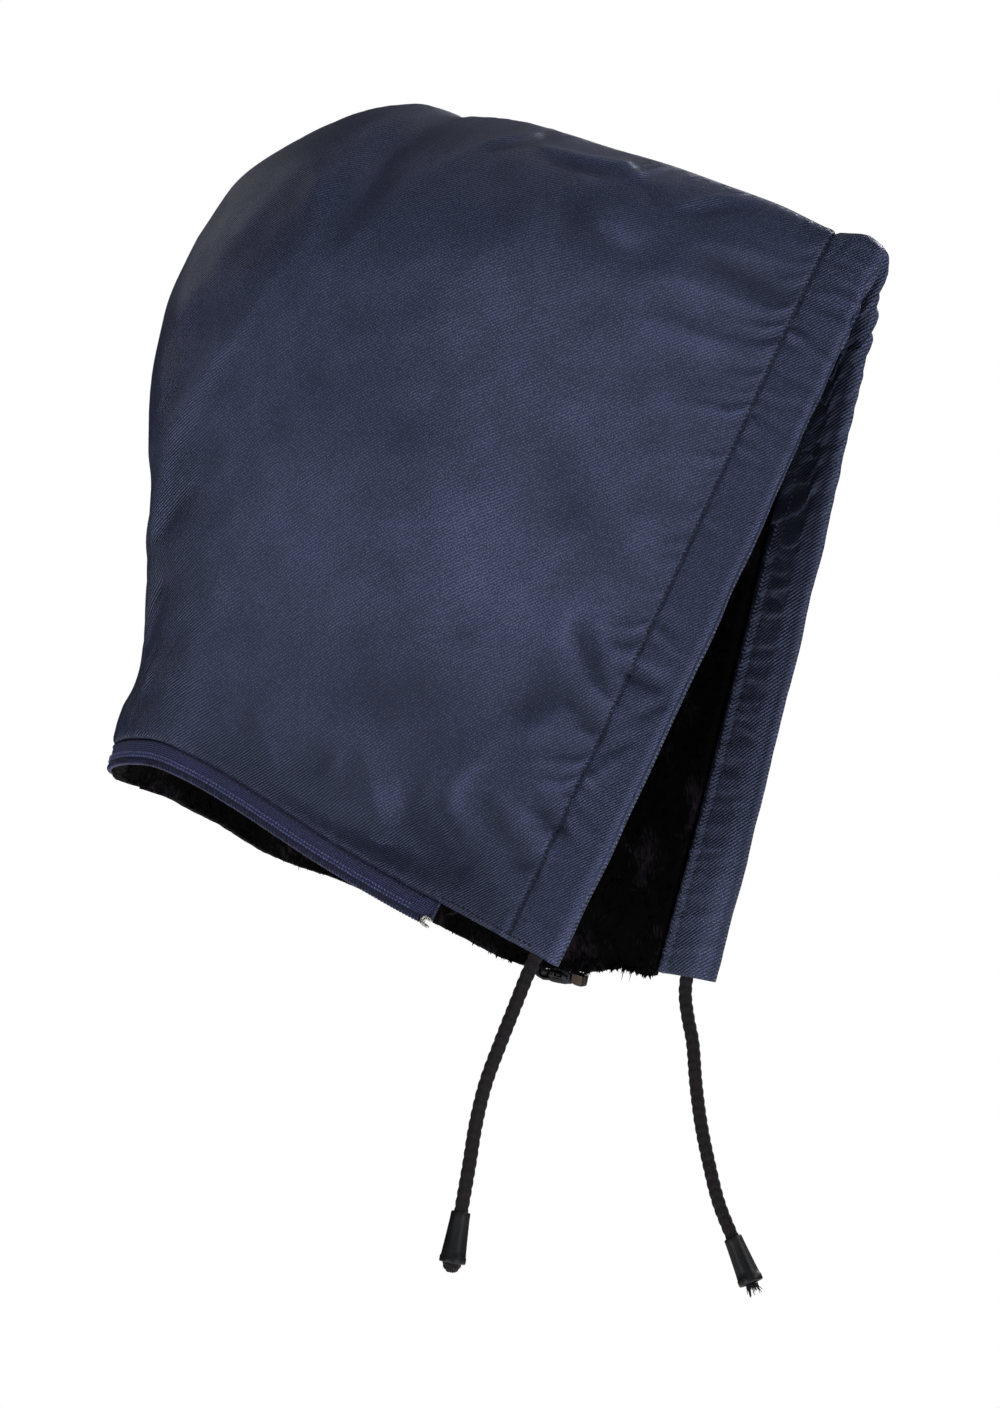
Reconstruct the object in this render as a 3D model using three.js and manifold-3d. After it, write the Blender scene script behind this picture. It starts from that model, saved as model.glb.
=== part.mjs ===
// Padded work-jacket hood with a pile lining, a zip along the neck edge and a drawcord in the front hem.
// Millimetres. +X points out of the face opening, +Y to the wearer's left, +Z up.
// The origin is the point under the crown where the lining sits on the head.

import * as THREE from 'three';
import { mergeVertices } from 'three/addons/utils/BufferGeometryUtils.js';
import Module from 'manifold-3d';

const wasm = await Module();
wasm.setup();

// Size of the hood
const HOOD_DEPTH = 380;          // front tip to nape, along X
const HOOD_HEIGHT = 408;         // crown to front corners, along Z
const CROWN_WIDTH = 178;         // outside, over the crown
const CHEEK_WIDTH = 192;         // outside, half way down
const NECK_WIDTH = 168;          // outside, at the neck edge
const FACE_WIDTH = 164;          // outside, between the two front corners
const BACK_ROUND = 76;           // reach of the round from the back seam to the flat of the side
const CROWN_ROUND = 98;          // the same from the crown seam
const FRONT_BOW = 2;             // how far the front edge bows forward of a straight line
const SEAM_ROLL = 2.6;           // the padded edge of a panel rolls over into the centre seam
const DOME_START = 0.52;         // share of a side, behind the front edge, where the wedge has become the dome
const FOLD_START = 0.1;          // folds fade in between these two shares of a side
const FOLD_FULL = 0.25;

// Walls
const CLOTH_WALL = 3;            // twill with its wadding
const PILE_WALL = 6.5;           // backing with the pile on it
const CASING_WIDTH = 27.5;       // front hem that the drawcord runs in
const CASING_EDGE = 4;           // thickness at the folded edge
const CASING_TOP_WALL = 5.5;     // thickness of the filled hem at the tip
const CASING_END_WALL = 9.5;     // and at the front corners, where the cord comes out
const CASING_FILL = 0.25;        // share of the front edge, from the corner, over which the hem gets thinner
const FIT_GAP = 0.3;             // clearance between pieces that touch
const LOCK_DEPTH = 1.6;          // how far neighbouring locks of the pile differ
const PILE_HANG_FRONT = 2.5;     // pile below the neck edge, beside the front hem
const PILE_HANG_RIGHT = 7.5;     // and round the head
const PILE_HANG_LEFT = 14;
const HANG_START = 0.305;        // shares of the neck edge where the pile starts to hang lower,
const HANG_FULL = 0.435;         // hangs full
const HANG_END = 0.86;           // and starts to rise again towards the nape

// Neck zip, the half that stays on the hood
const TAPE_DROP = 8.6;           // tape below the neck edge
const TAPE_WALL = 1.6;
const TAPE_INSET = 0.7;          // tape behind the outer face of the cloth
const COIL_HEIGHT = 2.8;
const COIL_WALL = 2.6;
const COIL_END_GAP = 0.8;        // the coil's slanting ends stay clear of the stop and the slider
const ZIP_START = 0.228;         // where the zip begins, as a share of the neck edge from the front corner
const ZIP_END = 0.235;
const STOP_LENGTH = 4.6;
const STOP_HEIGHT = 4.4;
const STOP_WALL = 3.6;
const STOP_BAR = 1.3;            // width of the bar that the stop is bent from
const NAPE_FLAT = 0.05;          // half the flat stretch over the nape, as a share of a side
const BAND_STATIONS = 20;        // steps of a band on each side
const SLIDER_LENGTH = 11;
const SLIDER_HEIGHT = 8;
const SLIDER_WALL = 5.4;
const SLIDER_ROUND = 2;
const BOX_LENGTH = 7;
const BOX_HEIGHT = 6.4;
const BOX_WALL = 4.2;
const BOX_ROUND = 1;
const FILM_LENGTH = 5;           // plastic film that stiffens the tape at the box, seen from inside
const FILM_HEIGHT = 4.2;
const FILM_WALL = 0.8;
const FILM_ROUND = 0.6;

// Drawcord and its ends
const CORD_DIAMETER = 6;
const SOCKET_CLEARANCE = 0.35;
const BELL_LENGTH = 22;
const BELL_TOP_DIAMETER = 8.4;
const BELL_DIAMETER = 11.4;
const BELL_SOCKET = 3;
const BELL_WALL = 1.4;
const BELL_HOLLOW = 5;
const BELL_BEVEL = 0.5;
const BELL_BAND = 3;             // straight rim at the foot and neck of the bell
const BELL_SIDES = 16;
const KNOT_DIAMETER = 7;
const KNOT_END_DIAMETER = 5;
const KNOT_LENGTH = 8;
const TUFT_LENGTH = 11;
const TUFT_END_DIAMETER = 8;
const CORD_SIDES = 10;
const CORD_STEP = 2;              // length of a step of the cord, in diameters

// Grid of a panel
const CASING_COLUMNS = [0, 0.06, 0.3, 0.55, 0.8, 1].map((share) => share * CASING_WIDTH);
const BODY_COLUMNS = 20;
const ROWS = 20;
const SLOPE_SHARE = 0.05;        // share of a panel over which its slope and spacing are measured

// Centre seam from the front tip over the crown to the nape, as shares of HOOD_DEPTH and HOOD_HEIGHT.
// The row named corner is where the top seam of the side view turns into the back seam.
const SEAM = [
  { x: 0.621, z: -0.193 },
  { x: 0.595, z: -0.178 },
  { x: 0.551, z: -0.166 },
  { x: 0.484, z: -0.131 },
  { x: 0.414, z: -0.101 },
  { x: 0.344, z: -0.072 },
  { x: 0.276, z: -0.048 },
  { x: 0.224, z: -0.028 },
  { x: 0.168, z: -0.009 },
  { x: 0.118, z: 0.001 },
  { x: 0.085, z: 0.004 },
  { x: 0.058, z: 0.018 },
  { x: 0.024, z: 0.026 },
  { x: -0.043, z: 0.022 },
  { x: -0.135, z: -0.006 },
  { x: -0.199, z: -0.04 },
  { x: -0.252, z: -0.101, corner: true },
  { x: -0.294, z: -0.182 },
  { x: -0.315, z: -0.274 },
  { x: -0.315, z: -0.365 },
  { x: -0.31, z: -0.41 },
  { x: -0.318, z: -0.5 },
  { x: -0.329, z: -0.589 },
  { x: -0.352, z: -0.632 },
  { x: -0.368, z: -0.68 },
];

// Neck edge from the front corner to the nape, as shares of HOOD_DEPTH and HOOD_HEIGHT.
// left_drop is how much lower the left side hangs.
const NECK = [
  { x: 0.299, z: -0.968, left_drop: -0.022 },
  { x: 0.19, z: -0.913, left_drop: 0.01 },
  { x: 0.094, z: -0.865, left_drop: 0.03 },
  { x: 0.003, z: -0.816, left_drop: 0.045 },
  { x: -0.102, z: -0.754, left_drop: 0.06 },
  { x: -0.165, z: -0.72, left_drop: 0.066 },
  { x: -0.217, z: -0.698, left_drop: 0.07 },
  { x: -0.265, z: -0.689, left_drop: 0.066 },
  { x: -0.318, z: -0.684, left_drop: 0.046 },
  { x: -0.368, z: -0.68, left_drop: 0 },
];

// Main folds of the side panels, seen from the side: a line from one end to the other in shares of
// HOOD_DEPTH and HOOD_HEIGHT, its width and height in shares of HOOD_DEPTH. A dent has a height below 0.
const FOLDS = [
  { x0: -0.2, z0: -0.24, x1: -0.28, z1: -0.5, width: 0.045, height: 0.008 },
  { x0: -0.235, z0: -0.53, x1: -0.3, z1: -0.62, width: 0.02, height: -0.008 },
  { x0: 0.19, z0: -0.6, x1: 0.27, z1: -0.7, width: 0.03, height: -0.012 },
  { x0: 0.1, z0: -0.74, x1: 0.2, z1: -0.88, width: 0.03, height: -0.01 },
  { x0: -0.12, z0: -0.69, x1: 0.08, z1: -0.79, width: 0.05, height: -0.012 },
  { x0: 0.05, z0: -0.03, x1: 0.04, z1: -0.13, width: 0.03, height: -0.012 },
];

// Routes of the two cord ends, from inside the hem down to the cord end, chosen by hand
const CORD_ROUTE_RIGHT = [
  [106, -74.4, -378.4], [101.8, -76.9, -388.5], [97.8, -78.9, -398.5], [93.2, -80, -410],
  [86.3, -81, -426.6], [79.6, -81.5, -443.4], [75, -81.5, -460.3], [72.2, -82, -477.1],
  [69.2, -82, -492.3], [67.7, -82, -499.9],
];
const CORD_ROUTE_LEFT = [
  [104.7, 73.5, -373.3], [100.4, 75.9, -383.1], [98.9, 77.4, -392], [99.8, 78.4, -402],
  [101.5, 79.5, -413.2], [102.2, 81, -431], [103.7, 83, -448.8], [106.6, 85, -466.7],
  [110.5, 87, -484.5], [117, 89.5, -502],
];

// Cloth and fittings
const NAVY_TWILL = { color: 0x1d2438, roughness: 0.72, metalness: 0 };
const BLACK_PILE = { color: 0x0b0a0d, roughness: 0.95, metalness: 0 };
const NAVY_TAPE = { color: 0x1c2138, roughness: 0.8, metalness: 0 };
const BLACK_CORD = { color: 0x101116, roughness: 0.85, metalness: 0 };
const BLACK_PLASTIC = { color: 0x17181b, roughness: 0.5, metalness: 0 };
const BRIGHT_METAL = { color: 0xc9c9c4, roughness: 0.28, metalness: 1 };
const BROWN_FILM = { color: 0x4a3a30, roughness: 0.45, metalness: 0 };

const SEAM_CORNER = SEAM.findIndex((row) => row.corner);
const seamPoints = SEAM.map((row) => sidePoint(row.x, row.z));
const topSeam = new THREE.SplineCurve(seamPoints.slice(0, SEAM_CORNER + 1));
const backSeam = new THREE.SplineCurve(seamPoints.slice(SEAM_CORNER).reverse());
const neckEdge = {
  right: new THREE.SplineCurve(NECK.map((row) => sidePoint(row.x, row.z))),
  left: new THREE.SplineCurve(NECK.map((row) => sidePoint(row.x, row.z - row.left_drop))),
};
const SIDE_SIGN = { right: -1, left: 1 };

const SAMPLES = 160;
const seamLine = [
  ...topSeam.getSpacedPoints(SAMPLES),
  ...backSeam.getSpacedPoints(SAMPLES).reverse().slice(1),
];
const frontLength = seamPoints[0].distanceTo(neckEdge.right.getPoint(0));
const FRONT_SLOPE = (FACE_WIDTH / 2 - SEAM_ROLL) / frontLength;
const WEDGE_INSET = Math.sqrt(1 + 1 / FRONT_SLOPE ** 2);

// A point of the side view from its shares of the depth and the height
function sidePoint(x, z) {
  return new THREE.Vector2(x * HOOD_DEPTH, z * HOOD_HEIGHT);
}

function smoothStep(edge0, edge1, value) {
  return THREE.MathUtils.smoothstep(value, edge0, edge1);
}

// How round the hood is behind the front edge: 0 is the wedge of the face opening, 1 the dome of the head
function domeShare(s) {
  return smoothStep(0, DOME_START, s);
}

// A layer lies a depth below the outer face. The seam of a layer moves in with the depth,
// further in the wedge of the face opening, where the two sides lie close together.
const layers = new Map();
function layer(depth) {
  if (layers.has(depth)) {
    return layers.get(depth);
  }
  const line = seamLine.map((point, index) => {
    const before = seamLine[Math.max(index - 1, 0)];
    const after = seamLine[Math.min(index + 1, seamLine.length - 1)];
    const tangent = after.clone().sub(before).normalize();
    const inward = new THREE.Vector2(-tangent.y, tangent.x);
    const wedge = 1 - domeShare(Math.min(index / SAMPLES, 1));
    return point.clone().addScaledVector(inward, depth * (1 + (WEDGE_INSET - 1) * wedge));
  });
  const made = { depth, line };
  layers.set(depth, made);
  return made;
}

function distanceToLine(point, line, last = line.length - 1) {
  let nearest = Infinity;
  for (let index = 1; index <= last; index += 1) {
    const start = line[index - 1];
    const reach = line[index].clone().sub(start);
    const share = THREE.MathUtils.clamp(point.clone().sub(start).dot(reach) / reach.lengthSq(), 0, 1);
    nearest = Math.min(nearest, start.clone().addScaledVector(reach, share).distanceTo(point));
  }
  return nearest;
}

function pointOnLine(line, from, to, share) {
  const place = from + (to - from) * share;
  const index = Math.min(Math.floor(place), line.length - 2);
  return line[index].clone().lerp(line[index + 1], place - index);
}

// Side view of a panel, s from the front edge to the back seam, t from the neck edge to the top seam
function sideView(side, s, t, shape) {
  const line = shape.line;
  const tip = line[0];
  const corner = line[SAMPLES];
  const nape = line[line.length - 1];
  const chin = neckEdge[side].getPoint(0);
  const inset = nape.clone().sub(neckEdge[side].getPoint(1));
  const neck = neckEdge[side].getPointAt(s).addScaledVector(inset, s);
  const top = pointOnLine(line, 0, SAMPLES, s);
  const back = pointOnLine(line, line.length - 1, SAMPLES, t);
  const front = chin.clone().lerp(tip, t);
  front.x += FRONT_BOW * Math.sin(Math.PI * t);
  const blend = new THREE.Vector2();
  blend.addScaledVector(neck, 1 - t).addScaledVector(top, t);
  blend.addScaledVector(front, 1 - s).addScaledVector(back, s);
  blend.addScaledVector(chin, -(1 - s) * (1 - t)).addScaledVector(nape, -s * (1 - t));
  blend.addScaledVector(tip, -(1 - s) * t).addScaledVector(corner, -s * t);
  return blend;
}

// Half the width at a point of the side view: a wedge at the face opening and a round dome behind it
function halfWidth(s, t, distance, topDistance, depth) {
  const widest = t < 0.5
    ? THREE.MathUtils.lerp(NECK_WIDTH, CHEEK_WIDTH, smoothStep(0, 0.5, t))
    : THREE.MathUtils.lerp(CHEEK_WIDTH, CROWN_WIDTH, smoothStep(0.5, 1, t));
  const reach = THREE.MathUtils.lerp(BACK_ROUND, CROWN_ROUND, t) - depth;
  const inside = 1 - Math.min(distance / reach, 1);
  const dome = (widest / 2 - depth) * Math.sqrt(1 - inside ** 2);
  const wedge = FRONT_SLOPE * topDistance + SEAM_ROLL * (1 - Math.exp(-topDistance / SEAM_ROLL));
  return FIT_GAP / 2 + THREE.MathUtils.lerp(wedge, dome, domeShare(s));
}

function foldHeight(point) {
  let height = 0;
  for (const fold of FOLDS) {
    const start = sidePoint(fold.x0, fold.z0);
    const reach = sidePoint(fold.x1, fold.z1).sub(start);
    const along = point.clone().sub(start).dot(reach) / reach.lengthSq();
    const across = start.clone().addScaledVector(reach, THREE.MathUtils.clamp(along, 0, 1)).distanceTo(point);
    height += fold.height * HOOD_DEPTH * Math.exp(-((across / (fold.width * HOOD_DEPTH)) ** 2));
  }
  return height;
}

// A point of a panel, depth below its outer face
function panelPoint(side, s, t, depth) {
  const shape = layer(depth);
  const flat = sideView(side, s, t, shape);
  const distance = distanceToLine(flat, shape.line);
  const topDistance = distanceToLine(flat, shape.line, SAMPLES);
  const fade = smoothStep(0, BACK_ROUND / 2, distance) * smoothStep(FOLD_START, FOLD_FULL, s);
  const width = halfWidth(s, t, distance, topDistance, depth) + foldHeight(flat) * fade;
  return new THREE.Vector3(flat.x, SIDE_SIGN[side] * width, flat.y);
}

// Share s that lies a length behind the front edge, measured on the outer face
function shareBehindEdge(side, t, length) {
  const measured = panelPoint(side, SLOPE_SHARE, t, 0).distanceTo(panelPoint(side, 0, t, 0));
  return (length / measured) * SLOPE_SHARE;
}

function columnShares(side, t) {
  const casing = CASING_COLUMNS.map((length) => shareBehindEdge(side, t, length));
  const start = casing[casing.length - 1];
  const body = [];
  for (let column = 1; column <= BODY_COLUMNS; column += 1) {
    body.push(start + (1 - start) * Math.sin((column / BODY_COLUMNS) * (Math.PI / 2)));
  }
  return { casing, body };
}

function rowShares() {
  return Array.from({ length: ROWS + 1 }, (_, row) => Math.sin((row / ROWS) * (Math.PI / 2)));
}

// Extends a panel below its neck edge by a length along its own slope
function belowNeck(side, s, depth, length) {
  const edge = panelPoint(side, s, 0, depth);
  const above = panelPoint(side, s, SLOPE_SHARE, depth);
  return edge.clone().addScaledVector(edge.clone().sub(above).normalize(), length);
}

// Closes two grids of points, one above the other, into one solid
function closedSheet(outer, inner) {
  const columns = outer.length;
  const rows = outer[0].length;
  const points = [];
  const quad = (a, b, c, d) => points.push(a, b, c, a, c, d);
  for (let i = 0; i < columns - 1; i += 1) {
    for (let j = 0; j < rows - 1; j += 1) {
      quad(outer[i][j], outer[i + 1][j], outer[i + 1][j + 1], outer[i][j + 1]);
      quad(inner[i][j], inner[i][j + 1], inner[i + 1][j + 1], inner[i + 1][j]);
    }
  }
  for (let i = 0; i < columns - 1; i += 1) {
    quad(outer[i][0], inner[i][0], inner[i + 1][0], outer[i + 1][0]);
    quad(outer[i][rows - 1], outer[i + 1][rows - 1], inner[i + 1][rows - 1], inner[i][rows - 1]);
  }
  for (let j = 0; j < rows - 1; j += 1) {
    quad(outer[0][j], outer[0][j + 1], inner[0][j + 1], inner[0][j]);
    quad(outer[columns - 1][j], inner[columns - 1][j], inner[columns - 1][j + 1], outer[columns - 1][j + 1]);
  }
  return solidFromTriangles(points);
}

// Triangles from a list of points, without slivers, facing outwards
function solidFromTriangles(points) {
  const kept = [];
  let volume = 0;
  for (let index = 0; index < points.length; index += 3) {
    const [a, b, c] = points.slice(index, index + 3);
    const open = a.distanceTo(b) > 1e-4 && b.distanceTo(c) > 1e-4 && c.distanceTo(a) > 1e-4;
    if (open) {
      kept.push(a, b, c);
      volume += a.dot(b.clone().cross(c));
    }
  }
  if (volume < 0) {
    for (let index = 0; index < kept.length; index += 3) {
      [kept[index + 1], kept[index + 2]] = [kept[index + 2], kept[index + 1]];
    }
  }
  return mergeVertices(new THREE.BufferGeometry().setFromPoints(kept));
}

function toManifold(geometry) {
  const bare = geometry.clone();
  bare.deleteAttribute('normal');
  bare.deleteAttribute('uv');
  const merged = mergeVertices(bare);
  return new wasm.Manifold(new wasm.Mesh({
    numProp: 3,
    vertProperties: new Float32Array(merged.attributes.position.array),
    triVerts: new Uint32Array(merged.index.array),
  }));
}

function fromManifold(solid) {
  const mesh = solid.getMesh();
  const geometry = new THREE.BufferGeometry();
  geometry.setAttribute('position', new THREE.BufferAttribute(new Float32Array(mesh.vertProperties), 3));
  geometry.setIndex(new THREE.BufferAttribute(new Uint32Array(mesh.triVerts), 1));
  return geometry;
}

function cut(geometry, tool) {
  return fromManifold(toManifold(geometry).subtract(toManifold(tool)));
}

function toVectors(rows) {
  return rows.map((row) => new THREE.Vector3(...row));
}

function roundBar(curve, diameter, sides, steps) {
  const section = new THREE.Shape();
  section.absarc(0, 0, diameter / 2, 0, 2 * Math.PI);
  return new THREE.ExtrudeGeometry(section, { curveSegments: sides, steps, extrudePath: curve });
}

// Outer cloth of one side with its front hem, which is folded in and filled by the drawcord
function shellPanel(side, cordRoute) {
  const shares = rowShares();
  const outer = [];
  const inner = [];
  const columnCount = CASING_COLUMNS.length + 1 + BODY_COLUMNS;
  for (let column = 0; column < columnCount; column += 1) {
    outer.push([]);
    inner.push([]);
  }
  for (const t of shares) {
    const { casing, body } = columnShares(side, t);
    const wall = THREE.MathUtils.lerp(CASING_END_WALL, CASING_TOP_WALL, Math.min(t / CASING_FILL, 1));
    const stepBehind = casing[casing.length - 1] + (casing[1] - casing[0]) / 2;
    const line = [...casing, stepBehind, ...body];
    line.forEach((s, column) => {
      const inCasing = column < casing.length;
      let depth = CLOTH_WALL;
      let top = 0;
      if (column === 0) {
        depth = CASING_EDGE / 2;
        top = CASING_EDGE / 2;
      } else if (column === 1) {
        depth = CASING_EDGE;
      } else if (inCasing) {
        depth = wall;
      }
      outer[column].push(panelPoint(side, s, t, top));
      inner[column].push(panelPoint(side, s, t, depth));
    });
  }
  const socket = CORD_DIAMETER + 2 * SOCKET_CLEARANCE;
  const bored = cut(closedSheet(outer, inner), cordTube(cordRoute, socket));
  const [start, next] = toVectors(cordRoute.slice(0, 2));
  const step = next.sub(start).setLength(FIT_GAP);
  const floor = new THREE.LineCurve3(start.clone().sub(step), start.clone().add(step));
  return cut(bored, roundBar(floor, socket, CORD_SIDES, 1));
}

// Pile lining of one side, behind the hem, with a ragged lower edge of locks
function pilePanel(side) {
  const hang = { right: PILE_HANG_RIGHT, left: PILE_HANG_LEFT }[side];
  const outer = [];
  const inner = [];
  for (let column = 0; column <= BODY_COLUMNS; column += 1) {
    outer.push([]);
    inner.push([]);
  }
  rowShares().forEach((t, row) => {
    const { casing, body } = columnShares(side, t);
    const first = casing[casing.length - 1] + (casing[1] - casing[0]);
    [first, ...body].forEach((s, column) => {
      const lock = LOCK_DEPTH * ((row + column) % 2);
      const round = smoothStep(HANG_START, HANG_FULL, s) * (1 - smoothStep(HANG_END, 1, s));
      const length = THREE.MathUtils.lerp(PILE_HANG_FRONT, hang, round);
      const edgeLock = LOCK_DEPTH * (column % 2);
      if (row === 0) {
        outer[column].push(belowNeck(side, s, CLOTH_WALL + FIT_GAP, length - edgeLock));
        inner[column].push(belowNeck(side, s, CLOTH_WALL + FIT_GAP + PILE_WALL - lock, length - edgeLock));
      }
      outer[column].push(panelPoint(side, s, t, CLOTH_WALL + FIT_GAP));
      inner[column].push(panelPoint(side, s, t, CLOTH_WALL + FIT_GAP + PILE_WALL - lock));
    });
  });
  return closedSheet(outer, inner);
}

// Stations along the neck edge: -1 is the right front corner, 0 the nape and 1 the left front corner.
// They lie closer together where the edge bends round the nape.
function neckStation(turn) {
  return { side: turn < 0 ? 'right' : 'left', s: Math.sin((1 - Math.abs(turn)) * (Math.PI / 2)) };
}

function turnAt(s) {
  return 1 - Math.asin(s) / (Math.PI / 2);
}

// Turns from the right end to the left end of a band, with one flat stretch over the nape
function bandTurns(rightShare, leftShare) {
  const halves = [-turnAt(rightShare), turnAt(leftShare)].map((end) => {
    const sign = Math.sign(end);
    return Array.from({ length: BAND_STATIONS + 1 }, (_, index) => (
      sign * THREE.MathUtils.lerp(Math.abs(end), NAPE_FLAT, index / BAND_STATIONS)));
  });
  return [...halves[0], ...halves[1].reverse()];
}

// Point of a band. The stretch over the nape is made alike on both sides, so that it is flat.
function bandPoint(turn, depth, length) {
  const { side, s } = neckStation(turn);
  const point = belowNeck(Math.abs(turn) > NAPE_FLAT ? side : 'left', s, depth, length);
  point.y = SIDE_SIGN[side] * Math.abs(point.y);
  return point;
}

// A band under the neck edge: a rectangle of a height and wall carried along it
function neckBand(turns, drop, height, depth, wall) {
  const edges = [drop + height, drop];
  const outer = turns.map((turn) => edges.map((length) => bandPoint(turn, depth, length)));
  const inner = turns.map((turn) => edges.map((length) => bandPoint(turn, depth + wall, length)));
  return closedSheet(outer, inner);
}

// Place on the neck edge a length in front of a share. Its axes point along to the front, down
// and to the wearer's left.
function neckFrame(side, share, ahead, drop) {
  const s = share - ahead / neckEdge[side].getLength();
  const middle = TAPE_INSET + TAPE_WALL / 2;
  const place = belowNeck(side, s, middle, drop);
  const along = belowNeck(side, s - SLOPE_SHARE / 2, middle, drop).sub(place).normalize();
  const down = place.clone().sub(belowNeck(side, s, middle, 0));
  down.addScaledVector(along, -down.dot(along)).normalize();
  const left = new THREE.Vector3().crossVectors(along, down);
  return new THREE.Matrix4().makeBasis(along, down, left).setPosition(place);
}

function placed(geometry, frame) {
  return geometry.clone().applyMatrix4(frame);
}

// Plate with rounded corners, its length along X, its height along Y and its wall along Z, centred
function roundedPlate(length, height, wall, radius) {
  const x = length / 2;
  const y = height / 2;
  const shape = new THREE.Shape();
  shape.absarc(x - radius, y - radius, radius, 0, Math.PI / 2);
  shape.absarc(-x + radius, y - radius, radius, Math.PI / 2, Math.PI);
  shape.absarc(-x + radius, -y + radius, radius, Math.PI, 1.5 * Math.PI);
  shape.absarc(x - radius, -y + radius, radius, 1.5 * Math.PI, 2 * Math.PI);
  const plate = new THREE.ExtrudeGeometry(shape, { depth: wall, bevelEnabled: false, curveSegments: 4 });
  return plate.translate(0, 0, -wall / 2);
}

// Staple closed round the end of the coil: a flat bar bent to a U that is open to the front
function stopStaple() {
  const x = STOP_LENGTH / 2;
  const y = STOP_HEIGHT / 2;
  const shape = new THREE.Shape([
    new THREE.Vector2(x, y),
    new THREE.Vector2(-x, y),
    new THREE.Vector2(-x, -y),
    new THREE.Vector2(x, -y),
    new THREE.Vector2(x, -y + STOP_BAR),
    new THREE.Vector2(-x + STOP_BAR, -y + STOP_BAR),
    new THREE.Vector2(-x + STOP_BAR, y - STOP_BAR),
    new THREE.Vector2(x, y - STOP_BAR),
  ]);
  const staple = new THREE.ExtrudeGeometry(shape, { depth: STOP_WALL, bevelEnabled: false });
  return staple.translate(0, 0, -STOP_WALL / 2);
}

function cordCurve(route) {
  return new THREE.CatmullRomCurve3(toVectors(route), false, 'catmullrom', 0.5);
}

function cordTube(route, diameter) {
  const curve = cordCurve(route);
  const steps = Math.round(curve.getLength() / (CORD_STEP * CORD_DIAMETER));
  return roundBar(curve, diameter, CORD_SIDES, steps);
}

// Turns a shape made along -Z so that it goes on from the end of a cord
function atCordEnd(geometry, route, ahead) {
  const curve = cordCurve(route);
  const tangent = curve.getTangent(1);
  const turn = new THREE.Quaternion().setFromUnitVectors(new THREE.Vector3(0, 0, -1), tangent);
  const place = curve.getPoint(1).addScaledVector(tangent, ahead);
  return geometry.applyQuaternion(turn).translate(place.x, place.y, place.z);
}

// Bell of the cord end: a socket for the cord, a flared skirt and a hollow below
function bell() {
  const top = BELL_SOCKET;
  const socket = CORD_DIAMETER / 2 + FIT_GAP;
  const hollow = BELL_DIAMETER / 2 - BELL_WALL;
  const rim = top - BELL_LENGTH;
  const profile = [
    [0, rim + BELL_HOLLOW], [hollow, rim + BELL_HOLLOW], [hollow, rim], [BELL_DIAMETER / 2 - BELL_BEVEL, rim],
    [BELL_DIAMETER / 2, rim + BELL_BEVEL], [BELL_DIAMETER / 2, rim + BELL_BAND],
    [BELL_TOP_DIAMETER / 2, top - BELL_BAND], [BELL_TOP_DIAMETER / 2, top - BELL_BEVEL],
    [BELL_TOP_DIAMETER / 2 - BELL_BEVEL, top], [socket, top], [socket, 0], [0, 0],
  ];
  const lathe = new THREE.LatheGeometry(profile.map(([r, z]) => new THREE.Vector2(r, z)), BELL_SIDES);
  return lathe.rotateX(Math.PI / 2);
}

// Knot or tuft of the cord that shows under the bell
function cordStub(length, topDiameter, endDiameter) {
  const widest = Math.max(topDiameter, endDiameter) / 2;
  const profile = [
    [0, -length], [endDiameter / 2, -length], [widest, -length / 2], [topDiameter / 2, 0], [0, 0],
  ];
  const lathe = new THREE.LatheGeometry(profile.map(([r, z]) => new THREE.Vector2(r, z)), CORD_SIDES);
  return lathe.rotateX(Math.PI / 2);
}

const group = new THREE.Group();

function addPiece(name, geometry, finish) {
  const mesh = new THREE.Mesh(geometry, new THREE.MeshStandardMaterial(finish));
  mesh.name = name;
  group.add(mesh);
  return mesh;
}

addPiece('shell_right', shellPanel('right', CORD_ROUTE_RIGHT), NAVY_TWILL);
addPiece('shell_left', shellPanel('left', CORD_ROUTE_LEFT), NAVY_TWILL);
addPiece('pile_lining_right', pilePanel('right'), BLACK_PILE);
addPiece('pile_lining_left', pilePanel('left'), BLACK_PILE);

const tapeTurns = bandTurns(ZIP_START, ZIP_END);
addPiece('zip_tape', neckBand(tapeTurns, FIT_GAP, TAPE_DROP, TAPE_INSET, TAPE_WALL), NAVY_TAPE);

const coilDrop = FIT_GAP + TAPE_DROP + FIT_GAP;
const coilInset = TAPE_INSET - (COIL_WALL - TAPE_WALL) / 2;
const coilStart = STOP_LENGTH + COIL_END_GAP + FIT_GAP;
const coilEnd = BOX_LENGTH + SLIDER_LENGTH + COIL_END_GAP + FIT_GAP;
const coilTurns = bandTurns(
  ZIP_START + coilStart / neckEdge.right.getLength(),
  ZIP_END + coilEnd / neckEdge.left.getLength(),
);
addPiece('zip_coil', neckBand(coilTurns, coilDrop, COIL_HEIGHT, coilInset, COIL_WALL), NAVY_TAPE);

const stopFrame = neckFrame('right', ZIP_START, -STOP_LENGTH / 2 - FIT_GAP, coilDrop + STOP_HEIGHT / 2);
addPiece('zip_stop', placed(stopStaple(), stopFrame), BRIGHT_METAL);

const boxFrame = neckFrame('left', ZIP_END, -BOX_LENGTH / 2, coilDrop + BOX_HEIGHT / 2);
const box = roundedPlate(BOX_LENGTH, BOX_HEIGHT, BOX_WALL, BOX_ROUND);
const film = roundedPlate(FILM_LENGTH, FILM_HEIGHT, FILM_WALL, FILM_ROUND);
film.translate(0, 0, -(BOX_WALL + FILM_WALL) / 2 - FIT_GAP);
addPiece('zip_box', placed(box, boxFrame), BLACK_PLASTIC);
addPiece('zip_film', placed(film, boxFrame), BROWN_FILM);

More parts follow.
